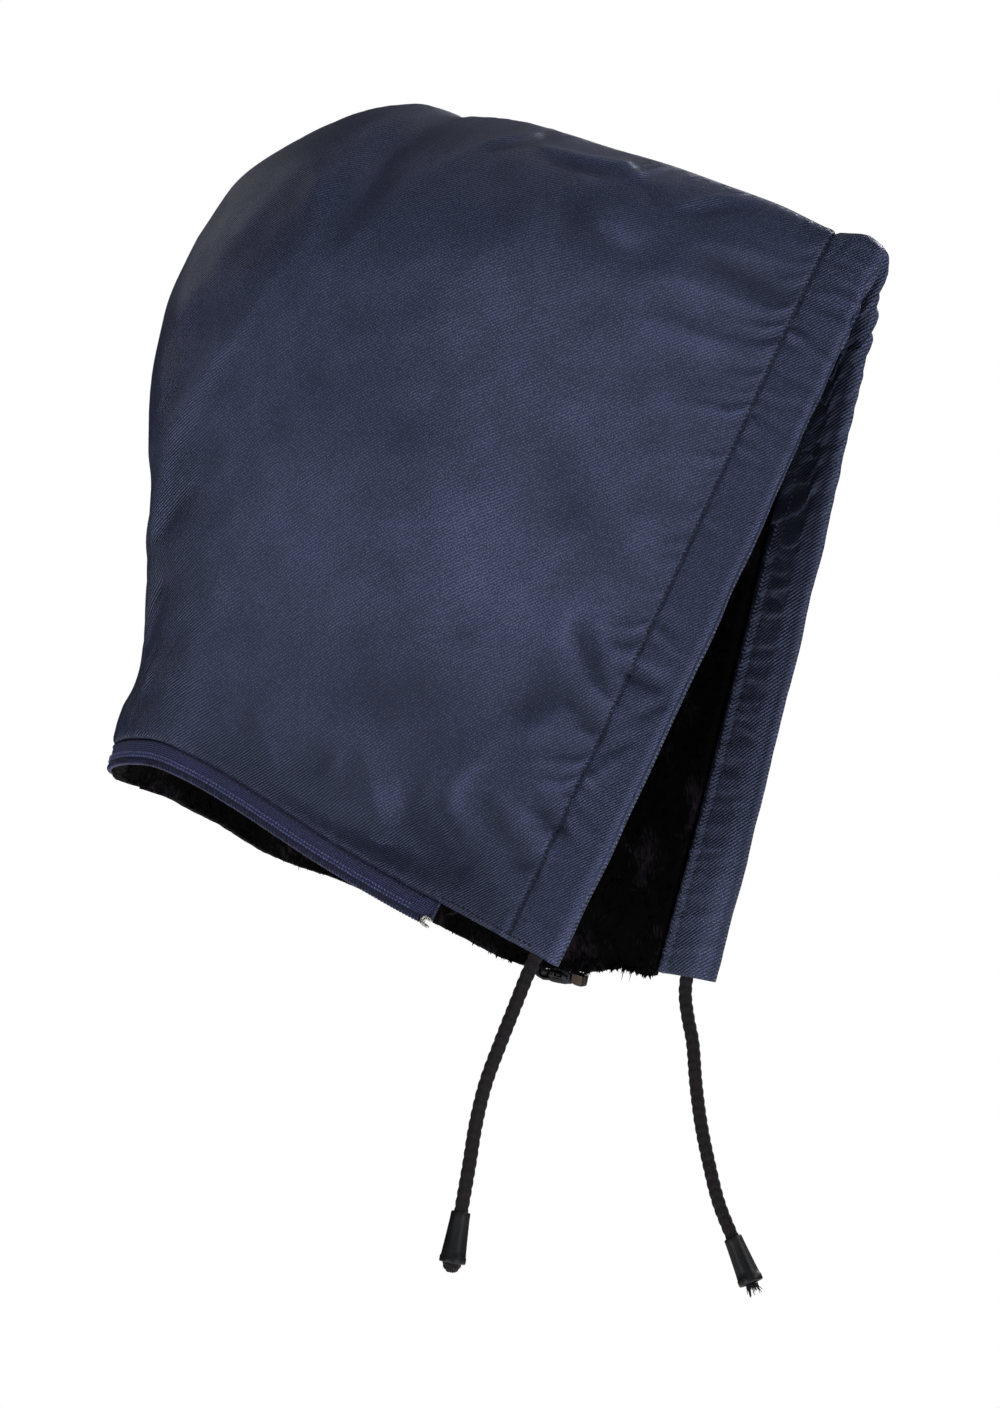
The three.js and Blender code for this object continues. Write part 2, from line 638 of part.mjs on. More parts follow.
const sliderBehind = BOX_LENGTH + SLIDER_LENGTH / 2 + FIT_GAP;
const sliderFrame = neckFrame('left', ZIP_END, -sliderBehind, coilDrop + SLIDER_HEIGHT / 2);
const slider = roundedPlate(SLIDER_LENGTH, SLIDER_HEIGHT, SLIDER_WALL, SLIDER_ROUND);
addPiece('zip_slider', placed(slider, sliderFrame), BLACK_PLASTIC);

for (const [side, route] of Object.entries({ right: CORD_ROUTE_RIGHT, left: CORD_ROUTE_LEFT })) {
  addPiece(`drawcord_${side}`, cordTube(route, CORD_DIAMETER), BLACK_CORD);
  addPiece(`cord_end_${side}`, atCordEnd(bell(), route, FIT_GAP), BLACK_PLASTIC);
}
const stubDepth = BELL_LENGTH - BELL_SOCKET - BELL_HOLLOW + 2 * FIT_GAP;
const knot = cordStub(KNOT_LENGTH, KNOT_DIAMETER, KNOT_END_DIAMETER);
const tuft = cordStub(TUFT_LENGTH, CORD_DIAMETER, TUFT_END_DIAMETER);
addPiece('cord_knot_right', atCordEnd(knot, CORD_ROUTE_RIGHT, stubDepth), BLACK_CORD);
addPiece('cord_tuft_left', atCordEnd(tuft, CORD_ROUTE_LEFT, stubDepth), BLACK_CORD);

export default group;
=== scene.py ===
import functools
import math

import bpy
import numpy as np
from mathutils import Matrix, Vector


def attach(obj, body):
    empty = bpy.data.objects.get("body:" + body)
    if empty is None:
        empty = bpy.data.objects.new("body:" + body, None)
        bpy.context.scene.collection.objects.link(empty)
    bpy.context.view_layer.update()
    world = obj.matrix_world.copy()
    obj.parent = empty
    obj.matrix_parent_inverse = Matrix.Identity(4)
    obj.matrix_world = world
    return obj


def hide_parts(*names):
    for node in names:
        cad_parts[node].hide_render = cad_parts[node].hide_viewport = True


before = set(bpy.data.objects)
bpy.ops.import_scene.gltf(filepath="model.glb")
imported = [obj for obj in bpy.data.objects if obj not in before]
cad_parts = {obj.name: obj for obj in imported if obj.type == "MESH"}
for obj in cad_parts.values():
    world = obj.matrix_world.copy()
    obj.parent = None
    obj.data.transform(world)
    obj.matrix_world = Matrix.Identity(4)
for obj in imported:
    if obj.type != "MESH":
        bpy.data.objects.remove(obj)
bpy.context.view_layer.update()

bl_info = {
    "name": "Padded jacket hood",
    "version": (1, 0, 0),
    "blender": (4, 5, 0),
    "location": "View3D > Sidebar > Hood",
    "description": "A padded hood with a pile lining, a neck zip and a drawcord",
    "category": "Add Mesh",
}

# Sizes in millimetres, as in the solids. +X is out of the face opening, +Y the wearer's left, +Z up.
HOOD_DEPTH = 380.0
HOOD_HEIGHT = 408.0
CROWN_WIDTH = 178.0
CHEEK_WIDTH = 192.0
NECK_WIDTH = 168.0
FACE_WIDTH = 164.0
BACK_ROUND = 76.0
CROWN_ROUND = 98.0
FRONT_BOW = 2.0
SEAM_ROLL = 2.6
DOME_START = 0.52
FOLD_START = 0.1
FOLD_FULL = 0.25
CLOTH_WALL = 3.0
PILE_WALL = 6.5
CASING_WIDTH = 27.5
CASING_EDGE = 4.0
CASING_TOP_WALL = 5.5
CASING_END_WALL = 9.5
CASING_FILL = 0.25
FACING_STEP = 1.4
LINING_STEP = 1.9
FIT_GAP = 0.3
TAPE_DROP = 8.6
TAPE_WALL = 1.6
TAPE_INSET = 0.7
COIL_HEIGHT = 2.8
COIL_WALL = 2.6
COIL_END_GAP = 0.8
ZIP_START = 0.228
ZIP_END = 0.235
STOP_LENGTH = 4.6
STOP_HEIGHT = 4.4
STOP_WIRE = 0.62
STOP_LIFT = 1.2
NAPE_FLAT = 0.05
SLIDER_LENGTH = 11.0
SLIDER_HEIGHT = 8.0
SLIDER_WALL = 5.4
BOX_LENGTH = 7.0
BOX_HEIGHT = 6.4
BOX_WALL = 4.2
CORD_DIAMETER = 6.0
BELL_LENGTH = 22.0
BELL_TOP_DIAMETER = 8.4
BELL_DIAMETER = 11.4
BELL_SOCKET = 3.0
BELL_WALL = 1.4
BELL_HOLLOW = 5.0
KNOT_DIAMETER = 7.0
KNOT_LENGTH = 8.0
TUFT_LENGTH = 11.0
TUFT_STRANDS = 34
GOLDEN_ANGLE = 2.399963
PILE_BACK = CLOTH_WALL + FIT_GAP
PILE_LUMPS = 1.2
LOCK_SINK = 0.6
LOCK_SWIRL = 0.45
LOCK_SPREAD = 0.28
LOCK_REACH = (0.6, 1.1)
LOCK_HALF_WIDTH = (0.3, 0.75)
EDGE_LOCKS = 4
EDGE_LOCK_REACH = (0.42, 0.2)
EDGE_LOCK_WIDTH = 1.3
SLOPE_SHARE = 0.05
COIL_DROP = FIT_GAP + TAPE_DROP + FIT_GAP
SIDE_SIGN = {"right": -1.0, "left": 1.0}

# Grids: columns run back from the front edge, rows up from the neck edge
HEM_COLUMNS = 16
BODY_COLUMNS = 256
INNER_STEP = 4
SHELL_ROWS = 260
FACING_BEHIND = (
    27.5, 26.6, 25.6, 24.6, 23.6, 22.6, 21.2, 19.8, 18.2, 16.4, 14.4, 12.4, 10.4, 8.4, 6.4, 4.8, 3.4,
)
LINING_GRID = (150, 110)
SEAM_DEPTH = 2.4
SEAM_RADIUS = 1.3
SAMPLES = 160

# Relief of the cloth in millimetres: heights, and the reach of each over the cloth
HEM_FULL = 0.8
BODY_FULL, BODY_FULL_REACH, BODY_FULL_FROM_SEAM = 1.0, 10.0, 70.0
STITCH_GROOVES = ((1.0, 0.9), (0.3, 3.0))
NECK_PULL, NECK_PULL_REACH = 1.0, 1.3
NECK_ROLL, NECK_ROLL_START, NECK_ROLL_REACH = 0.8, 6.0, 40.0
SEAM_PULL, SEAM_PULL_REACH = 0.7, 1.6
PUCKER, PUCKER_SLACK = 1.15, 1.6
BODY_PUCKER_LENGTH, BODY_PUCKER_REACH = 13.0, 11.0
HEM_PUCKER_LENGTH, HEM_PUCKER_REACH = 11.0, 9.0
NECK_PUCKER, NECK_PUCKER_LENGTH, NECK_PUCKER_REACH = 0.4, 11.0, 8.0
SEAM_PUCKER, SEAM_PUCKER_LENGTH, SEAM_PUCKER_REACH = 0.3, 9.0, 7.0
SMALL_DENTS, SMALL_DENT_LENGTH = 0.28, 22.0
WAVES, WAVE_LENGTH = 1.1, 80.0
CREASE_TAPER = 0.6
RIB_BEHIND, RIB_HEIGHT, RIB_REACH, RIB_TOP = 25.6, 1.2, 1.2, 0.66
GROOVE_BEHIND, GROOVE_DEPTH, GROOVE_REACH = 22.6, 0.7, 0.9
PIT_BEHIND, PIT_DEPTH, PIT_REACH, PIT_LENGTH = 19.4, 1.3, 3.0, 10.5
FACING_PUCKER_LIMIT = 1.6

# Painted light and shade in the cloth's colour: lighter on the ridges of folds and puckers and darker in
# creases, a painted highlight along the folded front edge with painted shade on the inner side of its fold,
# painted shade over the hem's inner face, and painted shade in a band above the zip
FULL_PAINTED_LIGHT_HEIGHT = 1.6
# Painted highlight along the folded front edge; across the nose, from its inner to its outer side, painted
# shade, none, then a painted highlight
EDGE_PAINTED_LIGHT = 1.0
NOSE_ANGLES = (-90, -60, -30, 0, 30, 60)
NOSE_PAINTED_LIGHT = (-1, -1, -1, 0, 0, 1)
# Painted shade over the hem's inner face, darkest near the tip
FACING_PAINTED_SHADE = -0.7
# Painted shade above the zip: how dark it is, its height above the neck edge, and where it fades out at both
# ends
ZIP_SHADE = 7.0
ZIP_SHADE_HEIGHT = 19.0
ZIP_SHADE_ENDS = ((-75.0, -20.0), (96.0, 60.0))

# Centre seam from the front tip over the crown to the nape: x, z as shares of the depth and the height
SEAM = np.array([
    (0.621, -0.193), (0.595, -0.178), (0.551, -0.166), (0.484, -0.131), (0.414, -0.101),
    (0.344, -0.072), (0.276, -0.048), (0.224, -0.028), (0.168, -0.009), (0.118, 0.001),
    (0.085, 0.004), (0.058, 0.018), (0.024, 0.026), (-0.043, 0.022), (-0.135, -0.006),
    (-0.199, -0.04), (-0.252, -0.101), (-0.294, -0.182), (-0.315, -0.274), (-0.315, -0.365),
    (-0.31, -0.41), (-0.318, -0.5), (-0.329, -0.589), (-0.352, -0.632), (-0.368, -0.68),
])
SEAM_CORNER = 16

# Neck edge from the front corner to the nape: x, z and how much lower the left side hangs
NECK = np.array([
    (0.299, -0.968, -0.022), (0.19, -0.913, 0.01), (0.094, -0.865, 0.03), (0.003, -0.816, 0.045),
    (-0.102, -0.754, 0.06), (-0.165, -0.72, 0.066), (-0.217, -0.698, 0.07), (-0.265, -0.689, 0.066),
    (-0.318, -0.684, 0.046), (-0.368, -0.68, 0.0),
])

# Main folds that the solids have too: x0, z0, x1, z1 as shares, width and height as shares of the depth
MAIN_FOLDS = [
    (-0.2, -0.24, -0.28, -0.5, 0.045, 0.008),
    (-0.235, -0.53, -0.3, -0.62, 0.02, -0.008),
    (0.19, -0.6, 0.27, -0.7, 0.03, -0.012),
    (0.1, -0.74, 0.2, -0.88, 0.03, -0.01),
    (-0.12, -0.69, 0.08, -0.79, 0.05, -0.012),
    (0.05, -0.03, 0.04, -0.13, 0.03, -0.012),
]

# Finer creases and dents in the cloth of each side: x0, z0, x1, z1, width and height in millimetres
CREASES = {
    "right": [
        (62, -26, 82, -15, 1.7, 1.0), (66, -30, 86, -20, 2.4, -0.7), (78, -12, 88, -22, 2.0, -0.7),
        (84, -25, 104, -31, 1.8, 1.1), (98, -30, 124, -36, 2.0, 1.5), (118, -33, 131, -44, 2.0, 1.4),
        (86, -31, 122, -42, 3.0, -0.8), (104, -25, 132, -32, 2.6, -0.7), (126, -44, 136, -34, 2.0, 1.0),
        (132, -46, 140, -58, 3.0, -0.8), (145, -56, 162, -51, 2.0, 0.8), (158, -51, 176, -53, 2.0, 0.8),
        (146, -60, 176, -58, 3.0, -0.7), (96, -52, 112, -48, 4.0, 0.6),
        (102, -50, 122, -76, 7, -1.5), (116, -60, 137, -76, 5, 1.3), (150, -66, 196, -104, 9, -1.4),
        (192, -84, 150, -70, 4, 1.0), (184, -104, 140, -88, 5, 0.9), (178, -126, 128, -108, 6, 0.8),
        (188, -94, 160, -80, 3, -0.8), (176, -118, 146, -104, 4, -0.8),
        (-44, -106, -77, -155, 8, 1.2), (-77, -155, -92, -201, 6, 1.4), (-64, -175, -95, -200, 4, -1.0),
        (-84, -209, -110, -232, 2.2, -1.6), (-86, -214, -108, -238, 2.6, 1.1),
        (-87, -240, -109, -262, 2.2, -1.6), (-84, -246, -104, -268, 3, 1.0),
        (-90, -180, -112, -196, 2.6, 1.0), (-96, -196, -112, -214, 2.6, -1.0),
        (112, -240, 126, -273, 3.4, -2.4), (119, -236, 131, -264, 3.0, 1.5),
        (108, -272, 126, -295, 3.6, -2.6), (116, -268, 133, -287, 3.0, 1.4),
        (129, -263, 152, -276, 2.8, -2.2), (132, -257, 154, -269, 3.0, 1.3),
        (96, -320, 114, -337, 3.4, -2.2), (102, -314, 119, -328, 3.0, 1.3),
        (74, -314, 101, -358, 4.6, -1.8), (84, -314, 110, -350, 4.2, 1.4),
        (139, -287, 155, -280, 2.6, -1.7), (124, -304, 140, -296, 2.4, -1.2),
        (118, -316, 134, -306, 2.4, 1.0),
        (-26, -309, 60, -352, 7.0, -3.6), (20, -312, 52, -330, 6.0, 1.0), (44, -318, 70, -352, 7.0, -2.0),
        (34, -330, 48, -300, 5.0, -1.4), (58, -330, 74, -300, 6.0, 1.4), (-10, -306, 8, -292, 5.0, -1.2),
        (86, -286, 106, -262, 8.0, -2.2), (104, -258, 116, -232, 6.0, 1.6), (92, -296, 112, -280, 5.0, 1.2),
        (8, -248, 74, -303, 18, -1.6), (60, -180, 96, -262, 20, 1.3), (-20, -160, 20, -250, 24, 0.9),
        (96, -150, 130, -228, 8, -0.9), (108, -146, 142, -222, 7, 0.8),
    ],
    "left": [
        (62, -10, 84, -30, 1.8, 1.4), (96, -26, 126, -46, 2, 1.3), (100, -34, 122, -52, 2.6, -1.2),
        (-52, -112, -84, -178, 8, 1.2), (-82, -206, -108, -236, 2.4, -1.5),
        (-80, -240, -104, -262, 2.4, -1.3),
        (116, -234, 128, -266, 3.4, -2.2), (104, -280, 122, -302, 3.6, -2.2),
        (112, -276, 128, -294, 3.0, 1.2),
        (134, -256, 154, -272, 2.8, -2.0), (90, -316, 110, -338, 3.4, -2.0), (98, -312, 116, -330, 3, 1.2),
        (68, -308, 94, -352, 5, -1.6), (-30, -312, 50, -356, 5, -3.0), (0, -240, 64, -296, 18, -1.4),
        (190, -88, 150, -72, 4, 1.0), (182, -108, 142, -90, 5, 0.9),
    ],
}

# Routes of the two cord ends in metres, as in the solids
CORD_ROUTES = {
    "right": [
        (0.106, -0.0744, -0.3784), (0.1018, -0.0769, -0.3885), (0.0978, -0.0789, -0.3985),
        (0.0932, -0.08, -0.41), (0.0863, -0.081, -0.4266), (0.0796, -0.0815, -0.4434),
        (0.075, -0.0815, -0.4603), (0.0722, -0.082, -0.4771), (0.0692, -0.082, -0.4923),
        (0.0677, -0.082, -0.4999),
    ],
    "left": [
        (0.1047, 0.0735, -0.3733), (0.1004, 0.0759, -0.3831), (0.0989, 0.0774, -0.392),
        (0.0998, 0.0784, -0.402), (0.1015, 0.0795, -0.4132), (0.1022, 0.081, -0.431),
        (0.1037, 0.083, -0.4488), (0.1066, 0.085, -0.4667), (0.1105, 0.087, -0.4845),
        (0.117, 0.0895, -0.502),
    ],
}
STITCH_REACH = 0.3
TAPE_MIDDLE = TAPE_INSET + TAPE_WALL / 2
TAPE_COLUMNS = 320
TAPE_EDGE_ROUND = 0.4
TAPE_RIB, TAPE_RIB_SPACING = 0.09, 2.9
COIL_WIRE = 0.38
COIL_COLUMNS = 700
COIL_POINTS_PER_TURN = 12
# Core of the coil: places of its corners down the band and out of it
CORE_CORNERS = ((-2.09, -0.7), (0.95, -0.7), (0.95, 0.7), (-2.09, 0.7))
# Rows of stitches that hold the coil: how far down the tape, and how deep they sit
COIL_STITCHES = ((6.3, -0.15), (7.9, -0.1))

# How far the pile hangs below the neck edge: share of the way back, length in millimetres
# Where the pile hangs low, on the far, left side and round the nape, it hides the zip tape and coil behind
# it: partly the pile's own fringe, partly a dark sheet that stands in for the shade there
PILE_HANG = {
    "right": np.array([
        (0.0, 1.9), (0.3, 1.9), (0.37, 5.0), (0.44, 6.9), (0.88, 6.9), (0.93, 10.0), (0.97, 13.4),
        (1.0, 13.4),
    ]),
    "left": np.array([
        (0.0, 1.9), (0.17, 2.0), (0.2, 5.0), (0.24, 9.4), (0.28, 10.2), (0.32, 13.0), (0.36, 15.0),
        (0.4, 15.4), (0.48, 14.2), (0.6, 14.0), (0.68, 14.8), (0.76, 13.4), (0.8, 12.6), (0.86, 12.5),
        (0.9, 12.6), (0.94, 13.2), (0.97, 14.6), (1.0, 14.0),
    ]),
}

# Camera: the photograph's angle, from the wearer's front right and a little below
CAMERA_TURN = math.radians(27)
CAMERA_RISE = math.radians(-9)
CAMERA_DISTANCE = 2.6
CAMERA_TARGET = (0.045, 0.0, -0.266)
CAMERA_SENSOR = 24.0
IMAGE_HEIGHT = 1408
FOCAL_PIXELS = 5850
FLOOR_HEIGHT = -1.2
FLOOR_HALF_WIDTH = 4.0
FLOOR_POINTS = 9
FLOOR_GLOW = 0.6
LAMP_DISTANCE = 2.1
LAMP_SIZE = 0.9
# Lamps: name, degrees to the right of the camera, degrees up, watts
LAMPS = [
    ("low_left", -40, -20, 21.0), ("low_right", 35, -20, 18.0), ("key", -4, 20, 1.8),
    ("right", 65, 35, 12.0), ("top", -20, 50, 4.8), ("far_left", -100, 25, 0.8),
    ("back_left", -140, 35, 2.0), ("back_right", 140, 35, 30.0), ("back_top", 180, 60, 1.3),
]


# Small tools

def linear_colour(code):
    """sRGB hex to linear: (c / 12.92) below 0.04045, ((c + 0.055) / 1.055) ** 2.4 above."""
    values = [int(code[i:i + 2], 16) / 255 for i in (0, 2, 4)]
    return tuple(v / 12.92 if v <= 0.04045 else ((v + 0.055) / 1.055) ** 2.4 for v in values)


def smooth(low, high, value):
    """Smooth step: 3 q^2 - 2 q^3, where q is the share of the way from low to high."""
    share = np.clip((value - low) / (high - low), 0, 1)
    return share * share * (3 - 2 * share)


def mix(a, b, share):
    """a + (b - a) * share."""
    return a + (b - a) * share


def unit(vectors):
    """Each vector divided by its length."""
    length = np.linalg.norm(vectors, axis=-1, keepdims=True)
    return vectors / np.maximum(length, 1e-9)


def bump(distance, width):
    """exp(-(distance / width) ^ 2)."""
    return np.exp(-(distance / width) ** 2)


def run_along(line):
    """Length run along a line, from 0 at its first point."""
    return np.concatenate([[0], np.cumsum(np.linalg.norm(np.diff(line, axis=0), axis=1))])


def read_at(places, run, values):
    """Rows of values that stand along a run, read at places between them."""
    return np.stack([np.interp(places, run, values[:, k]) for k in range(values.shape[1])], axis=-1)


def ripple(values, wavelength, seed):
    """Smooth random wave of height about 1: a sum of five sines near the wavelength, random phases."""
    random = np.random.default_rng(seed)
    total = np.zeros(np.shape(values))
    for stretch in (0.62, 0.8, 1.0, 1.3, 1.9):
        total = total + np.sin(2 * np.pi * values / (wavelength * stretch) + random.uniform(0, 2 * np.pi))
    return total / 2.4


# The form of a side panel

def on_curve(points, shares):
    """Points at shares of the length of a uniform Catmull-Rom curve through the given points:
    the cubic with slopes (p2 - p0) / 2 and (p3 - p1) / 2, made dense and read off by arc length."""
    points = np.asarray(points, float)
    held = np.vstack([points[:1], points, points[-1:]])
    place = np.linspace(0, len(points) - 1, 60 * (len(points) - 1) + 1)
    index = np.minimum(place.astype(int), len(points) - 2)
    w = (place - index)[:, None]
    p0, p1, p2, p3 = (held[index + k] for k in range(4))
    v0, v1 = (p2 - p0) / 2, (p3 - p1) / 2
    curve = (2 * p1 - 2 * p2 + v0 + v1) * w ** 3 + (3 * p2 - 3 * p1 - 2 * v0 - v1) * w ** 2 + v0 * w + p1
    run = run_along(curve)
    return read_at(np.asarray(shares) * run[-1], run, curve)


SEAM_POINTS = SEAM * (HOOD_DEPTH, HOOD_HEIGHT)
EVEN = np.linspace(0, 1, SAMPLES + 1)
SEAM_LINE = np.vstack([
    on_curve(SEAM_POINTS[:SEAM_CORNER + 1], EVEN),
    on_curve(SEAM_POINTS[SEAM_CORNER:][::-1], EVEN)[::-1][1:],
])
NECK_POINTS = {
    "right": NECK[:, :2] * (HOOD_DEPTH, HOOD_HEIGHT),
    "left": (NECK[:, :2] - NECK[:, 2:] * (0, 1)) * (HOOD_DEPTH, HOOD_HEIGHT),
}
NECK_LENGTH = {
    side: np.linalg.norm(np.diff(on_curve(points, np.linspace(0, 1, 400)), axis=0), axis=1).sum()
    for side, points in NECK_POINTS.items()
}
FRONT_LENGTH = np.linalg.norm(SEAM_POINTS[0] - NECK_POINTS["right"][0])
FRONT_SLOPE = (FACE_WIDTH / 2 - SEAM_ROLL) / FRONT_LENGTH
WEDGE_INSET = math.sqrt(1 + 1 / FRONT_SLOPE ** 2)


def dome_share(s):
    """0 at the wedge of the face opening, 1 where the dome of the head begins."""
    return smooth(0, DOME_START, s)


@functools.lru_cache(maxsize=None)
def layer_line(depth):
    """The centre seam of a layer: the seam moved in along its normal by the depth, further in the wedge."""
    before = np.vstack([SEAM_LINE[:1], SEAM_LINE[:-1]])
    after = np.vstack([SEAM_LINE[1:], SEAM_LINE[-1:]])
    tangent = unit(after - before)
    inward = np.stack([-tangent[:, 1], tangent[:, 0]], axis=1)
    wedge = 1 - dome_share(np.minimum(np.arange(len(SEAM_LINE)) / SAMPLES, 1))
    return SEAM_LINE + inward * (depth * (1 + (WEDGE_INSET - 1) * wedge))[:, None]


def along_line(line, first, last, share):
    """The point a share of the way from one index of a line to another."""
    place = first + (last - first) * share
    index = np.clip(np.floor(place).astype(int), 0, len(line) - 2)
    return mix(line[index], line[index + 1], (place - index)[..., None])


def distance_to(points, line):
    """Distance from each point to the nearest segment of a line."""
    nearest = np.full(points.shape[:-1], np.inf)
    for start, end in zip(line[:-1], line[1:]):
        reach = end - start
        share = np.clip(((points - start) @ reach) / (reach @ reach), 0, 1)
        gap = points - start - share[..., None] * reach
        nearest = np.minimum(nearest, (gap * gap).sum(axis=-1))
    return np.sqrt(nearest)


def side_view(side, s, t, line):
    """Side view of a panel: a Coons patch between neck edge, front edge, top seam and back seam."""
    tip, corner, nape = line[0], line[SAMPLES], line[-1]
    chin, neck_end = NECK_POINTS[side][0], NECK_POINTS[side][-1]
    across, up = s[..., None], t[..., None]
    neck = on_curve(NECK_POINTS[side], s) + (nape - neck_end) * across
    top = along_line(line, 0, SAMPLES, s)
    back = along_line(line, 2 * SAMPLES, SAMPLES, t)
    front = mix(chin, tip, up) + np.stack([FRONT_BOW * np.sin(np.pi * t), np.zeros_like(t)], axis=-1)
    edges = neck * (1 - up) + top * up + front * (1 - across) + back * across
    corners = chin * (1 - across) * (1 - up) + nape * across * (1 - up)
    return edges - corners - tip * (1 - across) * up - corner * across * up


def crease_height(points, creases, taper=0.0):
    """Sum over the creases of height * exp(-(distance / width) ^ 2) * sin(pi * share along) ^ taper, so that
    with a taper above 0 each one runs out at both ends."""
    height = np.zeros(points.shape[:-1])
    for x0, z0, x1, z1, width, rise in creases:
        start, reach = np.array([x0, z0], float), np.array([x1 - x0, z1 - z0], float)
        share = np.clip(((points - start) @ reach) / (reach @ reach), 0, 1)
        gap = points - start - share[..., None] * reach
        ends = np.sin(np.pi * np.clip(share, 0.02, 0.98)) ** taper
        height += rise * np.exp(-(gap * gap).sum(axis=-1) / width ** 2) * ends
    return height


def main_folds():
    """The main folds in millimetres."""
    scale = (HOOD_DEPTH, HOOD_HEIGHT, HOOD_DEPTH, HOOD_HEIGHT, HOOD_DEPTH, HOOD_DEPTH)
    return np.array(MAIN_FOLDS) * scale


def panel_points(side, s, t, depth):
    """Points of a panel, depth below its outer face. The half width is a wedge, slope * distance to the
    top seam, at the face opening, and behind it a dome, half width * sqrt(1 - (1 - distance / reach) ^ 2)."""
    s, t = np.broadcast_arrays(np.asarray(s, float), np.asarray(t, float))
    line = layer_line(depth)
    flat = side_view(side, s, t, line)
    top_distance = distance_to(flat, line[:SAMPLES + 1])
    distance = np.minimum(top_distance, distance_to(flat, line[SAMPLES:]))
    widest = np.where(
        t < 0.5,
        mix(NECK_WIDTH, CHEEK_WIDTH, smooth(0, 0.5, t)),
        mix(CHEEK_WIDTH, CROWN_WIDTH, smooth(0.5, 1, t)),
    )
    inside = 1 - np.minimum(distance / (mix(BACK_ROUND, CROWN_ROUND, t) - depth), 1)
    dome = (widest / 2 - depth) * np.sqrt(1 - inside ** 2)
    wedge = FRONT_SLOPE * top_distance + SEAM_ROLL * (1 - np.exp(-top_distance / SEAM_ROLL))
    fade = smooth(0, BACK_ROUND / 2, distance) * smooth(FOLD_START, FOLD_FULL, s)
    width = FIT_GAP / 2 + mix(wedge, dome, dome_share(s)) + crease_height(flat, main_folds()) * fade
    return np.stack([flat[..., 0], SIDE_SIGN[side] * width, flat[..., 1]], axis=-1)


def share_per_mm(side, t):
    """Share of the way back that one millimetre behind the front edge takes."""
    edge = panel_points(side, np.zeros_like(t), t, 0.0)
    behind = panel_points(side, np.full_like(t, SLOPE_SHARE), t, 0.0)
    return SLOPE_SHARE / np.linalg.norm(behind - edge, axis=-1)


def below_neck(side, s, depth, length):
    """A panel carried on below its neck edge by a length, along its own slope."""
    edge = panel_points(side, s, np.zeros_like(s), depth)
    above = panel_points(side, s, np.full_like(s, SLOPE_SHARE), depth)
    return edge + unit(edge - above) * np.asarray(length)[..., None]


def row_shares(rows):
    """Shares up a panel, closer together at the crown: sin(90 degrees * row / rows)."""
    return np.sin(np.linspace(0, np.pi / 2, rows + 1))


def grid_normals(points, side):
    """Outward normals of a grid: the cross product of its two directions, turned to the wearer's side."""
    normals = unit(np.cross(np.gradient(points, axis=0), np.gradient(points, axis=1)))
    turned = np.sign(normals[..., 1].sum() * SIDE_SIGN[side])
    return normals * turned


def steps_of(points, axis):
    """Length run along one direction of a grid."""
    length = np.cumsum(np.linalg.norm(np.diff(points, axis=axis), axis=-1), axis=axis)
    pad = [(0, 0), (0, 0)]
    pad[axis] = (1, 0)
    return np.pad(length, pad)


# Meshes

def add_mesh(name, points, faces, material, uv=None, body="root"):
    """A mesh from points in millimetres and faces, smooth, with one material, riding on the body."""
    mesh = bpy.data.meshes.new(name)
    mesh.from_pydata((np.asarray(points).reshape(-1, 3) / 1000).tolist(), [], faces)
    mesh.polygons.foreach_set("use_smooth", np.ones(len(mesh.polygons), dtype=bool))
    if uv is not None:
        corners = np.empty(len(mesh.loops), dtype=np.int32)
        mesh.loops.foreach_get("vertex_index", corners)
        layer = mesh.uv_layers.new(name="UVMap")
        layer.data.foreach_set("uv", np.asarray(uv).reshape(-1, 2)[corners].astype(np.float32).ravel())
    mesh.validate()
    mesh.update()
    mesh.materials.append(material)
    piece = bpy.data.objects.new(name, mesh)
    bpy.context.scene.collection.objects.link(piece)
    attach(piece, body)
    return piece


def grid_faces(columns, rows, closed_columns=False, closed_rows=False, start=0):
    """Quads of a grid of points numbered column by column."""
    i = np.arange(columns if closed_columns else columns - 1)[:, None]
    j = np.arange(rows if closed_rows else rows - 1)[None, :]
    next_i, next_j = (i + 1) % columns, (j + 1) % rows
    quads = np.stack([
        i * rows + j, next_i * rows + j, next_i * rows + next_j, i * rows + next_j,
    ], axis=-1).reshape(-1, 4)
    return (quads + start).tolist()


def facing_out(points, faces):
    """The faces, turned round if the solid that they close has a volume below zero."""
    points = np.asarray(points).reshape(-1, 3)
    fans = np.array([(face[0], face[k], face[k + 1]) for face in faces for k in range(1, len(face) - 1)])
    a, b, c = points[fans[:, 0]], points[fans[:, 1]], points[fans[:, 2]]
    volume = (a * np.cross(b, c)).sum()
    return faces if volume > 0 else [face[::-1] for face in faces]


def frames_along(path):
    """Tangent and two normals at each point of a path, with as little twist as possible."""
    path = np.asarray(path, float)
    tangents = unit(np.gradient(path, axis=0))
    start = np.cross(tangents[0], (0.31, 0.87, 0.12))
    normals = [unit(start)]
    for tangent in tangents[1:]:
        carried = normals[-1] - tangent * (normals[-1] @ tangent)
        normals.append(unit(carried))
    normals = np.array(normals)
    return tangents, normals, np.cross(tangents, normals)


